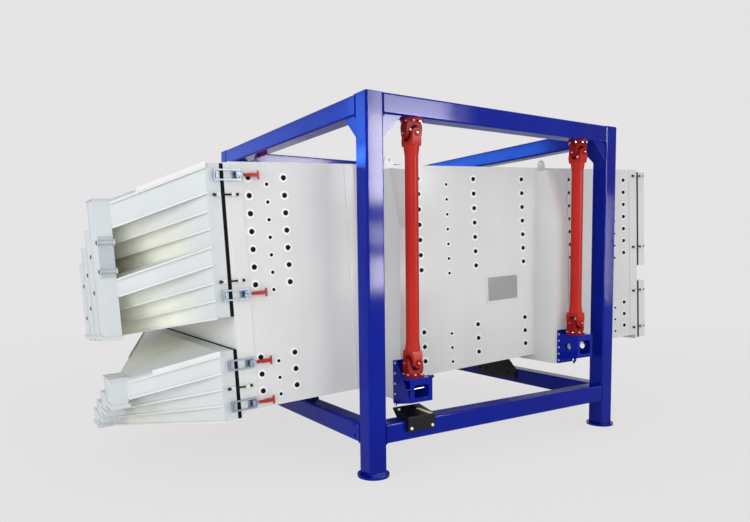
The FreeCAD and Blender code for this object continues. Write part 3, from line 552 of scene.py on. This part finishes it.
def fastener_tree():
    tree = bpy.data.node_groups.new("Fasteners", "GeometryNodeTree")
    tree.interface.new_socket("Geometry", in_out="INPUT", socket_type="NodeSocketGeometry")
    tree.interface.new_socket("Geometry", in_out="OUTPUT", socket_type="NodeSocketGeometry")
    for name, kind in FASTENER_INPUTS:
        tree.interface.new_socket(name, in_out="INPUT", socket_type=kind)
    given = tree.nodes.new("NodeGroupInput")
    result = tree.nodes.new("NodeGroupOutput")
    facing = add_node(tree, "GeometryNodeInputNamedAttribute", {"data_type": "FLOAT_VECTOR"},
                      {"Name": "facing"}).outputs[0]
    heads = cone_on_points(tree, given, facing, given.outputs["Head Radius"],
                           given.outputs["Head Top Radius"], given.outputs["Head Height"],
                           given.outputs["Washer Height"], given.outputs["Head Sides"],
                           given.outputs["Head Material"])
    washers = cone_on_points(tree, given, facing, given.outputs["Washer Radius"],
                             given.outputs["Washer Radius"], given.outputs["Washer Height"], 0.0,
                             WASHER_SIDES, given.outputs["Washer Material"])
    both = add_node(tree, "GeometryNodeJoinGeometry")
    tree.links.new(heads.outputs[0], both.inputs[0])
    tree.links.new(washers.outputs[0], both.inputs[0])
    tree.links.new(both.outputs[0], result.inputs[0])
    return tree


FASTENERS = fastener_tree()
print("fastener tree with", len(FASTENERS.nodes), "nodes")

# %% [markdown]
# ## From points to a plain mesh
# The export drops instances and live modifiers, so each field of fasteners is evaluated once, kept as a
# plain mesh, and set to ride on the body that it is screwed to. A recipe gives the sizes of one kind in
# millimetres, in the order of the tree's inputs: radius, top radius, height and sides of the head, then
# radius and height of the washer.

# %% Fields of fasteners
MM = 0.001
RECIPES = {
    "plug": (21, 17, 11, 16, 37, 3),
    "small_plug": (14, 11, 8, 14, 25, 2),
    "bolt": (10, 10, 8, 6, 13, 2),
    "big_bolt": (14, 14, 12, 6, 18, 3),
    "flange_bolt": (8.5, 8.5, 8, 6, 9.8, 2),
    "screw": (6, 4.5, 3, 12, 7.5, 1),
    "bearing_cap": (23, 20, 4, 24, 29, 3),
    "nipple": (4, 2.5, 9, 8, 6, 2),
    "pin_end": (17, 15, 6, 14, 24, 5),
}


def fastener_field(name, body, spots, recipe, head, washer, seed=1):
    """Spots are pairs of place and facing."""
    host = add_object(name + "_points", bpy.data.meshes.new(name + "_points"))
    host.data.from_pydata([tuple(place) for place, facing in spots], [], [])
    facings = host.data.attributes.new("facing", "FLOAT_VECTOR", "POINT")
    for i, (place, facing) in enumerate(spots):
        facings.data[i].vector = facing
    modifier = host.modifiers.new("Fasteners", "NODES")
    modifier.node_group = FASTENERS
    sizes = dict(zip([n for n, kind in FASTENER_INPUTS[:6]], RECIPES[recipe]))
    values = {n: v if n == "Head Sides" else v * MM for n, v in sizes.items()}
    values.update({"Seed": seed, "Head Material": head, "Washer Material": washer})
    for item in FASTENERS.interface.items_tree:
        if item.in_out == "INPUT" and item.name in values:
            modifier[item.identifier] = values[item.name]
    mesh = worked_out(host)
    mesh.name = name
    plain_object(name, mesh, body)
    print(name, len(spots), "pieces,", len(mesh.polygons), "faces")


# %% [markdown]
# ## Plugs of the side walls
# Behind every plug sits the end of a screen frame's clamping screw, so the plugs stand in columns along
# the wall with one for each sieve: seven above the drive bay and three below. Smaller ones sit between
# the outer columns, a little lower. The near and far walls carry the same pattern.

# %% Wall plugs
DECK_ROWS = [0.834 - 0.1355 * i for i in range(7)] + [-0.546 - 0.134 * i for i in range(3)]
PLUG_COLUMNS = [-2.25, -1.955, -0.645, 0.01, 0.645, 1.335, 1.955, 2.25]
SMALL_COLUMNS = [-2.10, -0.32, 2.09]
SMALL_DROP = 0.05

for side, sign in SIDES.items():
    facing = (0, sign, 0)
    wall = sign * HALF_WIDTH
    large = [(on_box(u, wall, v), facing) for u in PLUG_COLUMNS for v in DECK_ROWS]
    small = [(on_box(u, wall, v - SMALL_DROP), facing) for u in SMALL_COLUMNS for v in DECK_ROWS]
    fastener_field("wall_plugs_" + side, "screen_box", large, "plug", plug_black, washer_white, 3)
    fastener_field("small_wall_plugs_" + side, "screen_box", small, "small_plug", plug_black, washer_white, 5)

# %% [markdown]
# ## Bolts of the cardan rods
# Each flange yoke is held by eight bolts on a circle of 160 mm. The trunnions of the crosses end under
# round bearing caps in the ears, and each cap has a grease nipple. The ears of a flange yoke point along
# the frame and those of a rod's fork across it, so the caps ride on different bodies.

# %% Flange bolts and bearing caps
ROD_X, ROD_Y = 1.0, 1.5
TOP_JOINT_Z = 2.725
TOP_FLANGE_UNDER = 2.822
SEAT_Z = {-1: 0.765, 1: 0.965}
FLANGE_T = 0.018
JOINT_ABOVE_SEAT = 0.115
BOLT_CIRCLE, FLANGE_BOLTS = 0.080, 8
EAR_FACE = 0.076
NIPPLE_OUT = 0.007
ENDS = {"discharge": -1, "feed": 1}


def bolt_circle(x, y, z, facing):
    step = 360 / FLANGE_BOLTS
    angles = [math.radians(step / 2 + step * k) for k in range(FLANGE_BOLTS)]
    return [((x + BOLT_CIRCLE * math.cos(a), y + BOLT_CIRCLE * math.sin(a), z), facing) for a in angles]


top_bolts, low_bolts = [], []
caps = {"frame": [], "screen_box": []}
for side, sy in SIDES.items():
    for end, sx in ENDS.items():
        x, y = sx * ROD_X, sy * ROD_Y
        low_joint = SEAT_Z[sx] + JOINT_ABOVE_SEAT
        top_bolts += bolt_circle(x, y, TOP_FLANGE_UNDER, (0, 0, -1))
        low_bolts += bolt_circle(x, y, SEAT_Z[sx] + FLANGE_T, (0, 0, 1))
        for s in (-1, 1):
            caps["frame"].append(((x + s * EAR_FACE, y, TOP_JOINT_Z), (s, 0, 0)))
            caps["screen_box"].append(((x + s * EAR_FACE, y, low_joint), (s, 0, 0)))
        rod = "rod_" + side + "_" + end
        caps[rod] = [((x, y + s * EAR_FACE, z), (0, s, 0))
                     for s in (-1, 1) for z in (TOP_JOINT_Z, low_joint)]
fastener_field("upper_flange_bolts", "frame", top_bolts, "flange_bolt", bolt_steel, bolt_steel, 7)
fastener_field("lower_flange_bolts", "screen_box", low_bolts, "flange_bolt", bolt_steel, bolt_steel, 9)
for body, spots in caps.items():
    fastener_field("bearing_caps_" + body, body, spots, "bearing_cap", shaded_yoke_red, shaded_yoke_red, 11)
    outer = [(Vector(place) + NIPPLE_OUT * Vector(facing), facing) for place, facing in spots]
    fastener_field("grease_nipples_" + body, body, outer, "nipple", bolt_steel, bolt_steel, 13)

# %% [markdown]
# ## Bolts of brackets, stops and beams
# Each rod bracket is bolted down the edge of its side plate. The black stop on the near beam has pale
# bolts, those on the cross beams black ones, and the cross beams are bolted through the posts.

# %% Bracket bolts
BRACKET_EDGE = 0.110
BOLTS_PER_EDGE = 5
EDGE_ROWS = [(-1, 0.872, 0.525, 1.412), (1, 0.960, 0.700, 1.400)]

bracket_bolts = []
for sy in SIDES.values():
    for sx, top, bottom, y in EDGE_ROWS:
        for i in range(BOLTS_PER_EDGE):
            z = top + (bottom - top) * i / (BOLTS_PER_EDGE - 1)
            bracket_bolts.append(((sx * ROD_X - BRACKET_EDGE, sy * y, z), (-1, 0, 0)))
fastener_field("bracket_bolts", "screen_box", bracket_bolts, "bolt", bolt_steel, frame_blue, 15)
hole_caps = [((1.062, sy * 1.386, 0.827), (0, sy, 0)) for sy in SIDES.values()]
fastener_field("bracket_caps", "screen_box", hole_caps, "plug", washer_white, washer_white, 16)

# %% Stop and beam bolts
near_stop_bolts = [((-1.105, -1.620, 0.364), (0, -1, 0)), ((-0.893, -1.620, 0.364), (0, -1, 0)),
                   ((-1.118, -1.462, 0.488), (0, -0.19, 0.98))]
fastener_field("stop_bolts", "frame", near_stop_bolts, "bolt", washer_white, bolt_steel, 17)
cross_stop_bolts = [((sx * 1.300, y, 0.365), (-sx, 0, 0))
                    for sx in ENDS.values() for y in (-0.40, -0.29, 0.08, 0.19)]
fastener_field("cross_stop_bolts", "frame", cross_stop_bolts, "big_bolt", stop_black, stop_black, 18)
beam_bolts = [((sx * 1.480, sy * 1.345, z), (sx, 0, 0))
              for sx in ENDS.values() for sy in SIDES.values() for z in (0.305, 0.400)]
fastener_field("beam_bolts", "frame", beam_bolts, "bolt", frame_blue, frame_blue, 19)

# %% [markdown]
# ## Screws on covers
# The grey inspection covers are held at their corners and the top cover along both long edges.

# %% Cover screws
COVER_U, COVER_V = 0.350, -0.222
COVER_HALF_U, COVER_HALF_V = 0.197, 0.115
COVER_THICK, SCREW_INSET = 0.005, 0.022
COVER_US = (COVER_U - COVER_HALF_U, COVER_U + COVER_HALF_U)
COVER_VS = (COVER_V - COVER_HALF_V, COVER_V + COVER_HALF_V)

cover_screws = []
for sign in SIDES.values():
    for u in (COVER_US[0] + SCREW_INSET, COVER_US[1] - SCREW_INSET):
        for v in (COVER_VS[0] + SCREW_INSET, COVER_VS[1] - SCREW_INSET):
            cover_screws.append((on_box(u, sign * (HALF_WIDTH + COVER_THICK), v), (0, sign, 0)))
fastener_field("inspection_screws", "screen_box", cover_screws, "screw", stop_black, bolt_steel, 21)

# %% Roof bolts
ROOF_BOLTS = 20
ROOF_START_U, ROOF_RUN = -2.30, 4.60
ROOF_BOLT_W, ROOF_TOP_V = 1.015, 0.951

lid_bolts = [(on_box(ROOF_START_U + ROOF_RUN * i / (ROOF_BOLTS - 1), sign * ROOF_BOLT_W, ROOF_TOP_V), BOX_UP)
             for sign in SIDES.values() for i in range(ROOF_BOLTS)]
fastener_field("top_cover_bolts", "screen_box", lid_bolts, "bolt", bolt_steel, bolt_steel, 23)

# %% [markdown]
# ## A clean roof line
# The photograph shows nothing above the edge of the roof. So the ribs of the top cover end well behind it
# here: a copy of the cover has the ends of its ribs drawn in, and stands in for the node.

# %% Shorter ribs
RIB_END, RIB_REACH = 1.05, 0.74


def cover_with_short_ribs():
    mesh = nodes["top_cover"].data.copy()
    moved = [point for point in mesh.vertices if RIB_REACH < abs(point.co.y) < RIB_END + 0.005]
    for point in moved:
        point.co.y = math.copysign(RIB_REACH, point.co.y)
    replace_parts(plain_object("top_cover_short_ribs", mesh, "screen_box"), "top_cover")
    print(len(moved), "rib corners moved")


cover_with_short_ribs()

# %% [markdown]
# ## Small plates, pins and welds
# The rest are a few dozen small solids. A builder collects them: outlines pushed along a line, round
# bars, and weld beads, which are bars whose radius ripples as a hand-laid weld does.

# %% Mesh builder
class Solids:
    """Closed shapes in one mesh, given in frame metres or, with on_box, as u, w, v."""

    def __init__(self, place=lambda x, y, z: Vector((x, y, z))):
        self.place = place
        self.points = []
        self.faces = []

    def skin(self, rings):
        """Closes a row of rings with the same number of points."""
        first, count = len(self.points), len(rings[0])
        for ring in rings:
            self.points += [self.place(*point) for point in ring]
        self.faces.append(tuple(first + i for i in reversed(range(count))))
        last = first + count * (len(rings) - 1)
        self.faces.append(tuple(last + i for i in range(count)))
        for r in range(len(rings) - 1):
            a = first + r * count
            for i in range(count):
                j = (i + 1) % count
                self.faces.append((a + i, a + j, a + count + j, a + count + i))

    def prism(self, outline, push):
        self.skin([outline, [tuple(a + b for a, b in zip(point, push)) for point in outline]])

    def block(self, low, high):
        (x0, y0, z0), (x1, y1, z1) = low, high
        self.prism([(x0, y0, z0), (x1, y0, z0), (x1, y1, z0), (x0, y1, z0)], (0, 0, z1 - z0))

    def bar(self, start, end, radius, sides=10, steps=1, ripple=0.0):
        start, end = Vector(start), Vector(end)
        along = (end - start).normalized()
        across = along.orthogonal().normalized()
        other = along.cross(across)
        rings = []
        for k in range(steps + 1):
            middle = start.lerp(end, k / steps)
            r = radius * (1.0 + ripple * (0.6 * (k % 2) + 0.4 * math.sin(k * 2.3)))
            rings.append([tuple(middle + r * (math.cos(math.tau * i / sides) * across
                                              + math.sin(math.tau * i / sides) * other))
                          for i in range(sides)])
        self.skin(rings)

    def finish(self, name, body, material):
        mesh = bpy.data.meshes.new(name)
        mesh.from_pydata([tuple(point) for point in self.points], [], self.faces)
        shape = bmesh.new()
        shape.from_mesh(mesh)
        bmesh.ops.recalc_face_normals(shape, faces=shape.faces)
        shape.to_mesh(mesh)
        shape.free()
        mesh.materials.append(material)
        plain_object(name, mesh, body)
        print(name, len(self.faces), "faces")


print("builder ready")

# %% [markdown]
# ## Welds of the post frame
# Every beam is welded to its posts all round. The beads are a few millimetres thick, so they only show as
# a soft line in the corner.

# %% Frame welds
BEAM_LEVELS = [(0.262, 0.422), (2.820, 2.980)]
POST_INNER, POST_OUTER = (1.320, 1.420), (1.480, 1.580)
BEAD, BEAD_SIDES, BEAD_STEP, BEAD_RIPPLE = 0.0045, 6, 0.007, 0.22


def bead_square(solids, corners):
    for a, b in zip(corners, corners[1:] + corners[:1]):
        steps = max(2, round((Vector(b) - Vector(a)).length / BEAD_STEP))
        solids.bar(a, b, BEAD, BEAD_SIDES, steps, BEAD_RIPPLE)


welds = Solids()
for low, high in BEAM_LEVELS:
    for sx in ENDS.values():
        for sy in SIDES.values():
            x, y = sx * POST_INNER[0], sy * POST_INNER[1]
            far_x, far_y = sx * POST_OUTER[0], sy * POST_OUTER[1]
            bead_square(welds, [(x, y, low), (x, far_y, low), (x, far_y, high), (x, y, high)])
            bead_square(welds, [(x, y, low), (far_x, y, low), (far_x, y, high), (x, y, high)])
welds.finish("frame_welds", "frame", frame_blue)

# %% [markdown]
# ## Ducts: collars, lids, seams and pins
# Every duct ends in a folded collar for its sleeve, the first of each row has a lid with small eaves, and
# raised seams run down where two ducts meet. The door on the nearest duct turns on two white bars with
# brown ends, and the other ducts show pins of the same kind on their fronts.

# %% Duct collars
DUCT_FRONT, DUCT_DEPTH, DUCT_WIDTH = -3.265, 0.120, 0.250
DUCT_BACK = DUCT_FRONT + DUCT_DEPTH
FIRST_DUCT_W, DUCT_COUNT = -0.500, 4
COLLAR_OUT, COLLAR_HEIGHT, COLLAR_GAP = 0.012, 0.030, 0.002
# For each hood: the bottom of its first duct, the drop from one duct to the next, and all its tops.
DUCT_ROWS = [(-0.355, 0.023, (0.731, 0.516, 0.384, 0.252)),
             (-0.896, 0.106, (-0.666, -0.826, -0.951, -1.076))]

collars = Solids(on_box)
for bottom, step, tops in DUCT_ROWS:
    for k in range(DUCT_COUNT):
        w0 = FIRST_DUCT_W + DUCT_WIDTH * k
        w1 = w0 + DUCT_WIDTH
        low, high = bottom - step * k, bottom - step * k + COLLAR_HEIGHT
        front, back = DUCT_FRONT - COLLAR_OUT, DUCT_BACK + COLLAR_OUT
        collars.block((front, w0 + COLLAR_GAP, low), (DUCT_FRONT, w1 - COLLAR_GAP, high))
        collars.block((DUCT_BACK, w0 + COLLAR_GAP, low), (back, w1 - COLLAR_GAP, high))
        if k == 0:
            collars.block((front, w0 - COLLAR_OUT, low), (back, w0, high))
        if k == DUCT_COUNT - 1:
            collars.block((front, w1, low), (back, w1 + COLLAR_OUT, high))
print("collars with", len(collars.faces), "faces")

# %% Duct lids and seams
LID_EAVE, LID_BACK, LID_THICK = 0.016, 0.010, 0.012
SEAM_PROUD, SEAM_WIDTH = 0.007, 0.010
SEAM_OFFSETS = (-0.016, 0.006)

for bottom, step, tops in DUCT_ROWS:
    collars.block((DUCT_FRONT - LID_EAVE, FIRST_DUCT_W - LID_EAVE, tops[0]),
                  (DUCT_BACK + LID_BACK, FIRST_DUCT_W + DUCT_WIDTH, tops[0] + LID_THICK))
for bottom, step, tops in DUCT_ROWS:
    for k in range(1, DUCT_COUNT):
        for offset, own in zip(SEAM_OFFSETS, (k - 1, k)):
            edge = FIRST_DUCT_W + DUCT_WIDTH * k + offset
            collars.block((DUCT_FRONT - SEAM_PROUD, edge, bottom - step * own + COLLAR_HEIGHT),
                          (DUCT_FRONT, edge + SEAM_WIDTH, tops[own]))
collars.finish("duct_collars", "screen_box", hood_white)

# %% Door and front pins
DOOR_PIN_W, DOOR_PIN_LEVELS = -0.521, (0.185, 0.405)
PIN_INSET = 0.045
FRONT_PIN_LEVELS = {1: (0.300, 0.010), 2: (0.150, -0.130), 3: (0.050, -0.230)}

door_ends = [(on_box(u, DOOR_PIN_W, v), BOX_TURN @ Vector((way, 0, 0)))
             for v in DOOR_PIN_LEVELS for u, way in ((DUCT_FRONT, -1), (DUCT_BACK, 1))]
front_way = BOX_TURN @ Vector((-1, 0, 0))
front_pins = [(on_box(DUCT_FRONT, FIRST_DUCT_W + DUCT_WIDTH * k + PIN_INSET, v), front_way)
              for k, levels in FRONT_PIN_LEVELS.items() for v in levels]
fastener_field("duct_door_pins", "screen_box", door_ends, "pin_end", bronze_pin, box_white, 25)
fastener_field("duct_front_pins", "screen_box", front_pins, "pin_end", bronze_pin, box_white, 27)

# %% [markdown]
# ## Folded edges of the trays
# Every tray of a hood ends at its sides in a folded edge that stands a little proud, and the roof has a
# taller one. They run from the base frame to the ducts.

# %% Tray edges
UPPER_LEVELS = [0.937] + [0.722 - 0.1323 * i for i in range(8)]
LOWER_LEVELS = [-0.460] + [-0.620 - 0.125 * i for i in range(4)]
TRAY_DROP = (HOOD_START_U - DUCT_U) * math.tan(math.radians(20.0))
TRAY_SIDE_W, EDGE_OUT = 1.118, 0.018
# Each flat bar: how far above its tray it sits, its height, its thickness, and its share of the way.
ROOF_BARS = [(-0.006, 0.034, 0.009, 0.72), (-0.030, 0.012, 0.006, 1.0)]
TRAY_BARS = [(0.0, 0.013, 0.009, 1.0)]


def tray_edge(solids, level, end_w, side, height, thick, share):
    """A flat bar along one side of a tray, from the base frame to the ducts or a share of that way."""
    start = Vector((HOOD_START_U, side * TRAY_SIDE_W, level))
    end = start.lerp(Vector((DUCT_U, side * end_w, level - TRAY_DROP)), share)
    half = Vector((0, 0, height / 2))
    outline = [tuple(point) for point in (start + half, end + half, end - half, start - half)]
    solids.prism(outline, (0, side * thick, 0))


edges = Solids(on_box)
for levels in (UPPER_LEVELS, LOWER_LEVELS):
    count = len(levels) - 1
    for j, level in enumerate(levels):
        ducts = [i % DUCT_COUNT for i in (j - 1, j) if 0 <= i < count]
        near_end = -FIRST_DUCT_W - DUCT_WIDTH * min(ducts) + EDGE_OUT
        far_end = FIRST_DUCT_W + DUCT_WIDTH * (max(ducts) + 1) + EDGE_OUT
        for side, end_w in ((-1, near_end), (1, far_end)):
            for rise, height, thick, share in (ROOF_BARS if j == 0 else TRAY_BARS):
                tray_edge(edges, level + rise, end_w, side, height, thick, share)
edges.finish("tray_edges", "screen_box", box_white)

# %% [markdown]
# ## Marks, frames and hooks
# The stop on the near beam carries a pale yellow strip, each inspection cover sits in a white frame, and
# a small hook hangs under each bracket at the feed end.

# %% Stop mark
strip = Solids()
strip.prism([(-0.966, -1.488, 0.4845), (-0.932, -1.488, 0.4845), (-0.882, -1.612, 0.4605),
             (-0.916, -1.612, 0.4605)], (0, 0.0003, 0.0015))
strip.finish("stop_mark", "frame", mark_yellow)

# %% Frames of the inspection covers
RIM, RIM_THICK = 0.018, 0.008

frames = Solids(on_box)
for sign in SIDES.values():
    near, far = sorted((sign * HALF_WIDTH, sign * (HALF_WIDTH + RIM_THICK)))
    (u0, u1), (v0, v1) = COVER_US, COVER_VS
    frames.block((u0 - RIM, near, v0 - RIM), (u1 + RIM, far, v0))
    frames.block((u0 - RIM, near, v1), (u1 + RIM, far, v1 + RIM))
    frames.block((u0 - RIM, near, v0), (u0, far, v1))
    frames.block((u1, near, v0), (u1 + RIM, far, v1))
frames.finish("inspection_frames", "screen_box", box_white)

# %% Hooks
HOOK_OUTLINE = [(1.000, 0.745), (1.050, 0.745), (1.046, 0.690), (1.016, 0.664), (1.006, 0.680),
                (1.026, 0.700)]
HOOK_FROM, HOOK_TO = 1.470, 1.482

hooks = Solids()
for sign in SIDES.values():
    y0, y1 = sorted((sign * HOOK_FROM, sign * HOOK_TO))
    hooks.prism([(x, y0, z) for x, z in HOOK_OUTLINE], (0, y1 - y0, 0))
hooks.finish("bracket_hooks", "screen_box", stop_black)

# %% [markdown]
# ## Shoulders of the rods
# Where a fork is welded to its tube, the casting swells and runs out into the tube. A row of rings with
# changing radius is skinned for it. Each pair of shoulders rides on its own rod.

# %% Rod shoulders
SHOULDER_START = 0.085
SHOULDER_PROFILE = [(0.0, 0.056), (0.010, 0.0645), (0.034, 0.0630), (0.062, 0.0585), (0.090, 0.0553)]
SHOULDER_SIDES = 28


def level_ring(x, y, z, radius):
    angles = [math.tau * i / SHOULDER_SIDES for i in range(SHOULDER_SIDES)]
    return [(x + radius * math.cos(a), y + radius * math.sin(a), z) for a in angles]


for side, sy in SIDES.items():
    for end, sx in ENDS.items():
        x, y = sx * ROD_X, sy * ROD_Y
        low_joint = SEAT_Z[sx] + JOINT_ABOVE_SEAT
        shoulders = Solids()
        for start, way in ((TOP_JOINT_Z - SHOULDER_START, -1), (low_joint + SHOULDER_START, 1)):
            shoulders.skin([level_ring(x, y, start + way * h, radius) for h, radius in SHOULDER_PROFILE])
        shoulders.finish("rod_shoulders_" + side + "_" + end, "rod_" + side + "_" + end, rod_red)

# %% [markdown]
# ## Pins and grips
# A long pin with a black end passes through each rod bracket. Each clamp lever ends in a round red grip
# with a short bar across it. All of them are plain round bars, given once for one side and mirrored.

# %% Bracket pins
# Each bar: its start, its end and its radius, on the far side.
BRACKET_PINS = [((-1.122, 1.590, 0.674), (-0.955, 1.590, 0.680), 0.0035),
                ((-1.078, 1.590, 0.676), (-1.062, 1.590, 0.676), 0.007),
                ((0.950, 1.565, 0.859), (1.120, 1.565, 0.864), 0.0055)]
BRACKET_NUBS = [((-0.905, 1.600, 0.759), (-0.868, 1.600, 0.764), 0.014),
                ((1.105, 1.565, 0.864), (1.150, 1.565, 0.866), 0.009)]


def bars_on_both_sides(name, bars, sides, material):
    solids = Solids()
    for sign in SIDES.values():
        for (x0, y0, z0), (x1, y1, z1), radius in bars:
            solids.bar((x0, sign * y0, z0), (x1, sign * y1, z1), radius, sides)
    solids.finish(name, "screen_box", material)


bars_on_both_sides("bracket_pins", BRACKET_PINS, 10, bolt_steel)
bars_on_both_sides("bracket_nubs", BRACKET_NUBS, 12, stop_black)

# %% Lever grips
LEVER_LEVELS = [0.850, -0.040, -0.571, -0.887]
LEVER_W, GRIP_END_U = 1.138, -2.180
GRIP_RADIUS, CROSS_BAR_RADIUS, CROSS_BAR_HALF = 0.0125, 0.0075, 0.034
CROSS_BAR_GAP = 0.002

for side, sign in SIDES.items():
    grips = Solids(on_box)
    w = sign * LEVER_W
    for v in LEVER_LEVELS:
        grips.bar((GRIP_END_U, w, v - CROSS_BAR_HALF), (GRIP_END_U, w, v + CROSS_BAR_HALF), CROSS_BAR_RADIUS)
        grips.bar((GRIP_START_U, w, v), (GRIP_END_U - CROSS_BAR_GAP, w, v), GRIP_RADIUS, 12)
    grips.finish("lever_grips_" + side, body_of(nodes["clamp_levers_" + side + "_discharge"])[0], grip_red)

# %% [markdown]
# ## Floor, light and camera
# A plain pale floor stands in for a studio. The world's light is even, and four large lamps shape it: two
# at the discharge end and two in front. Window panes light nothing but show in glossy paint: five pale
# ones draw the sheen down the nearest post, and three blue ones, like an evening sky, lift the upper cross
# beams. The camera stands where the photograph was taken.

# %% Pale background
PALE = (0.791, 0.776, 0.782)


def seen_directly(tree):
    """1 for rays from the camera, a mirror or a glass, 0 for light that spreads."""
    path = add_node(tree, "ShaderNodeLightPath")
    seen = Amount(tree, path.outputs["Is Camera Ray"]) + path.outputs["Is Glossy Ray"]
    return (seen + path.outputs["Is Transmission Ray"]).limited()


print("pale colour", PALE)

# %% Floor that keeps the shadow
FLOOR_HALF, FLOOR_Z = 60.0, -0.001
NEAR_GLOW, GLOW_START, GLOW_END = 0.86, 4.0, 12.0

corners = [(x * FLOOR_HALF, y * FLOOR_HALF, FLOOR_Z) for x, y in ((-1, -1), (1, -1), (1, 1), (-1, 1))]
floor = add_object("floor", bpy.data.meshes.new("floor"))
floor.data.from_pydata(corners, [], [(0, 1, 2, 3)])
floor_material, floor_tree, floor_shader, floor_place = start_material("floor_pale")
drift = cloudy(floor_tree, floor_place, 0.4)
floor_paint = blend_colours(floor_tree, drift, (0.84, 0.83, 0.83), (0.85, 0.84, 0.84))
floor_tree.links.new(floor_paint, floor_shader.inputs["Base Color"])
floor_shader.inputs["Roughness"].default_value = 0.9
floor_shader.inputs["Specular IOR Level"].default_value = 0.0
glow = add_node(floor_tree, "ShaderNodeEmission", None, {"Color": rgba(PALE), "Strength": 1.0})
distance = add_node(floor_tree, "ShaderNodeVectorMath", {"operation": "LENGTH"}, {0: floor_place})
far_off = (Amount(floor_tree, distance.outputs["Value"]) - GLOW_START) * (1 / (GLOW_END - GLOW_START))
share = (far_off.limited() * (1.0 - NEAR_GLOW) + NEAR_GLOW) * seen_directly(floor_tree)
blend = add_node(floor_tree, "ShaderNodeMixShader", None,
                 {0: share, 1: floor_shader.outputs[0], 2: glow.outputs[0]})
floor_end = next(n for n in floor_tree.nodes if n.type == "OUTPUT_MATERIAL")
floor_tree.links.new(blend.outputs[0], floor_end.inputs["Surface"])
floor.data.materials.append(floor_material)
print("floor ready")

# %% World
world = bpy.data.worlds.new("studio")
bpy.context.scene.world = world
world.use_nodes = True
world_tree = world.node_tree
room = next(n for n in world_tree.nodes if n.type == "BACKGROUND")
room.inputs["Color"].default_value = (0.97, 0.985, 1.0, 1)
room.inputs["Strength"].default_value = 0.72
backdrop = add_node(world_tree, "ShaderNodeBackground", None, {"Color": rgba(PALE), "Strength": 1.0})
world_mix = add_node(world_tree, "ShaderNodeMixShader", None,
                     {0: seen_directly(world_tree), 1: room.outputs[0], 2: backdrop.outputs[0]})
world_end = next(n for n in world_tree.nodes if n.type == "OUTPUT_WORLD")
world_tree.links.new(world_mix.outputs[0], world_end.inputs["Surface"])
bpy.context.scene.view_settings.view_transform = "Standard"
print("world ready")


# %% Lamps
def soft_lamp(name, place, target, size, glow, colour=(1, 1, 1), only_mirrored=False):
    """A flat lamp whose face is `glow` times as bright as white."""
    lamp = bpy.data.lights.new(name, "AREA")
    lamp.shape = "RECTANGLE"
    lamp.size, lamp.size_y = size
    lamp.energy = glow * math.pi * size[0] * size[1]
    lamp.color = colour
    made = add_object(name, lamp)
    made.location = place
    made.rotation_euler = (Vector(target) - Vector(place)).to_track_quat("-Z", "Y").to_euler()
    made.visible_camera = False
    made.visible_diffuse = not only_mirrored
    made.visible_glossy = only_mirrored


soft_lamp("end_lamp", (-13.0, -3.0, 4.5), (-2.0, 0, 1.4), (7, 5), 2.5, (0.96, 0.98, 1.0))
soft_lamp("low_lamp", (-9.5, -5.5, 0.85), (-2.5, 0, 1.5), (7, 1.6), 3.2)
soft_lamp("front_lamp", (-6.5, -9.5, 3.5), (-1.5, 0, 1.2), (7, 5), 1.5)
soft_lamp("side_lamp", (1.5, -11.0, 3.0), (0.6, 0, 1.2), (5, 4), 2.1)
print(len(bpy.data.lights), "lamps")

# %% Window panes
WINDOW_Y, EVENING_X = -9.5, -13.0
DAYLIGHT, EVENING_BLUE = (1.0, 0.97, 1.0), (0.04, 0.21, 1.0)
PANES = [("top_pane", (4.78, 5.28), (2.36, 0.66), 30), ("upper_pane", (4.78, 3.98), (2.36, 1.94), 66),
         ("middle_pane", (4.78, 2.28), (2.36, 0.5), 26), ("lower_pane", (4.78, 1.38), (2.36, 0.75), 52),
         ("end_pane", (11.8, 1.9), (0.30, 3.0), 26)]
SKY_PANES = [("far_beam_sky", (16.0, 5.97), (8.2, 0.75), 40),
             ("near_beam_sky", (25.5, 8.03), (16.0, 1.0), 4), ("post_sky", (16.8, 7.6), (1.2, 1.95), 26)]

for name, (x, z), size, glow in PANES:
    soft_lamp(name, (x, WINDOW_Y, z), (x, 0, z), size, glow, DAYLIGHT, True)
for name, (y, z), size, glow in SKY_PANES:
    soft_lamp(name, (EVENING_X, y, z), (0, y, z), size, glow, EVENING_BLUE, True)
print(len(PANES), "pale panes and", len(SKY_PANES), "blue ones")

# %% Camera
CAMERA_PLACE = Vector((-4.089, -5.643, 1.739))
CAMERA_YAW = math.radians(58.30)
CAMERA_PITCH = math.radians(-4.77)
CAMERA_ROLL = math.radians(-0.797)
PHOTO_WIDTH, PHOTO_HEIGHT = 750, 522
FOCAL_PX = 630.2
PRINCIPAL_PX = (357.45, 311.0)
SENSOR_WIDTH = 36.0

ahead = Vector((math.cos(CAMERA_YAW) * math.cos(CAMERA_PITCH),
                math.sin(CAMERA_YAW) * math.cos(CAMERA_PITCH), math.sin(CAMERA_PITCH)))
camera_data = bpy.data.cameras.new("camera")
camera = add_object("camera", camera_data)
bpy.context.scene.camera = camera
level = ahead.to_track_quat("-Z", "Y")
camera.rotation_mode = "QUATERNION"
camera.rotation_quaternion = level @ Matrix.Rotation(CAMERA_ROLL, 4, "Z").to_quaternion()
camera.location = CAMERA_PLACE
camera_data.sensor_width = SENSOR_WIDTH
camera_data.lens = SENSOR_WIDTH * FOCAL_PX / PHOTO_WIDTH
camera_data.shift_x = (PHOTO_WIDTH / 2 - PRINCIPAL_PX[0]) / PHOTO_WIDTH
camera_data.shift_y = (PRINCIPAL_PX[1] - PHOTO_HEIGHT / 2) / PHOTO_WIDTH
camera_data.clip_end = 200
print("lens", round(camera_data.lens, 2), "mm")
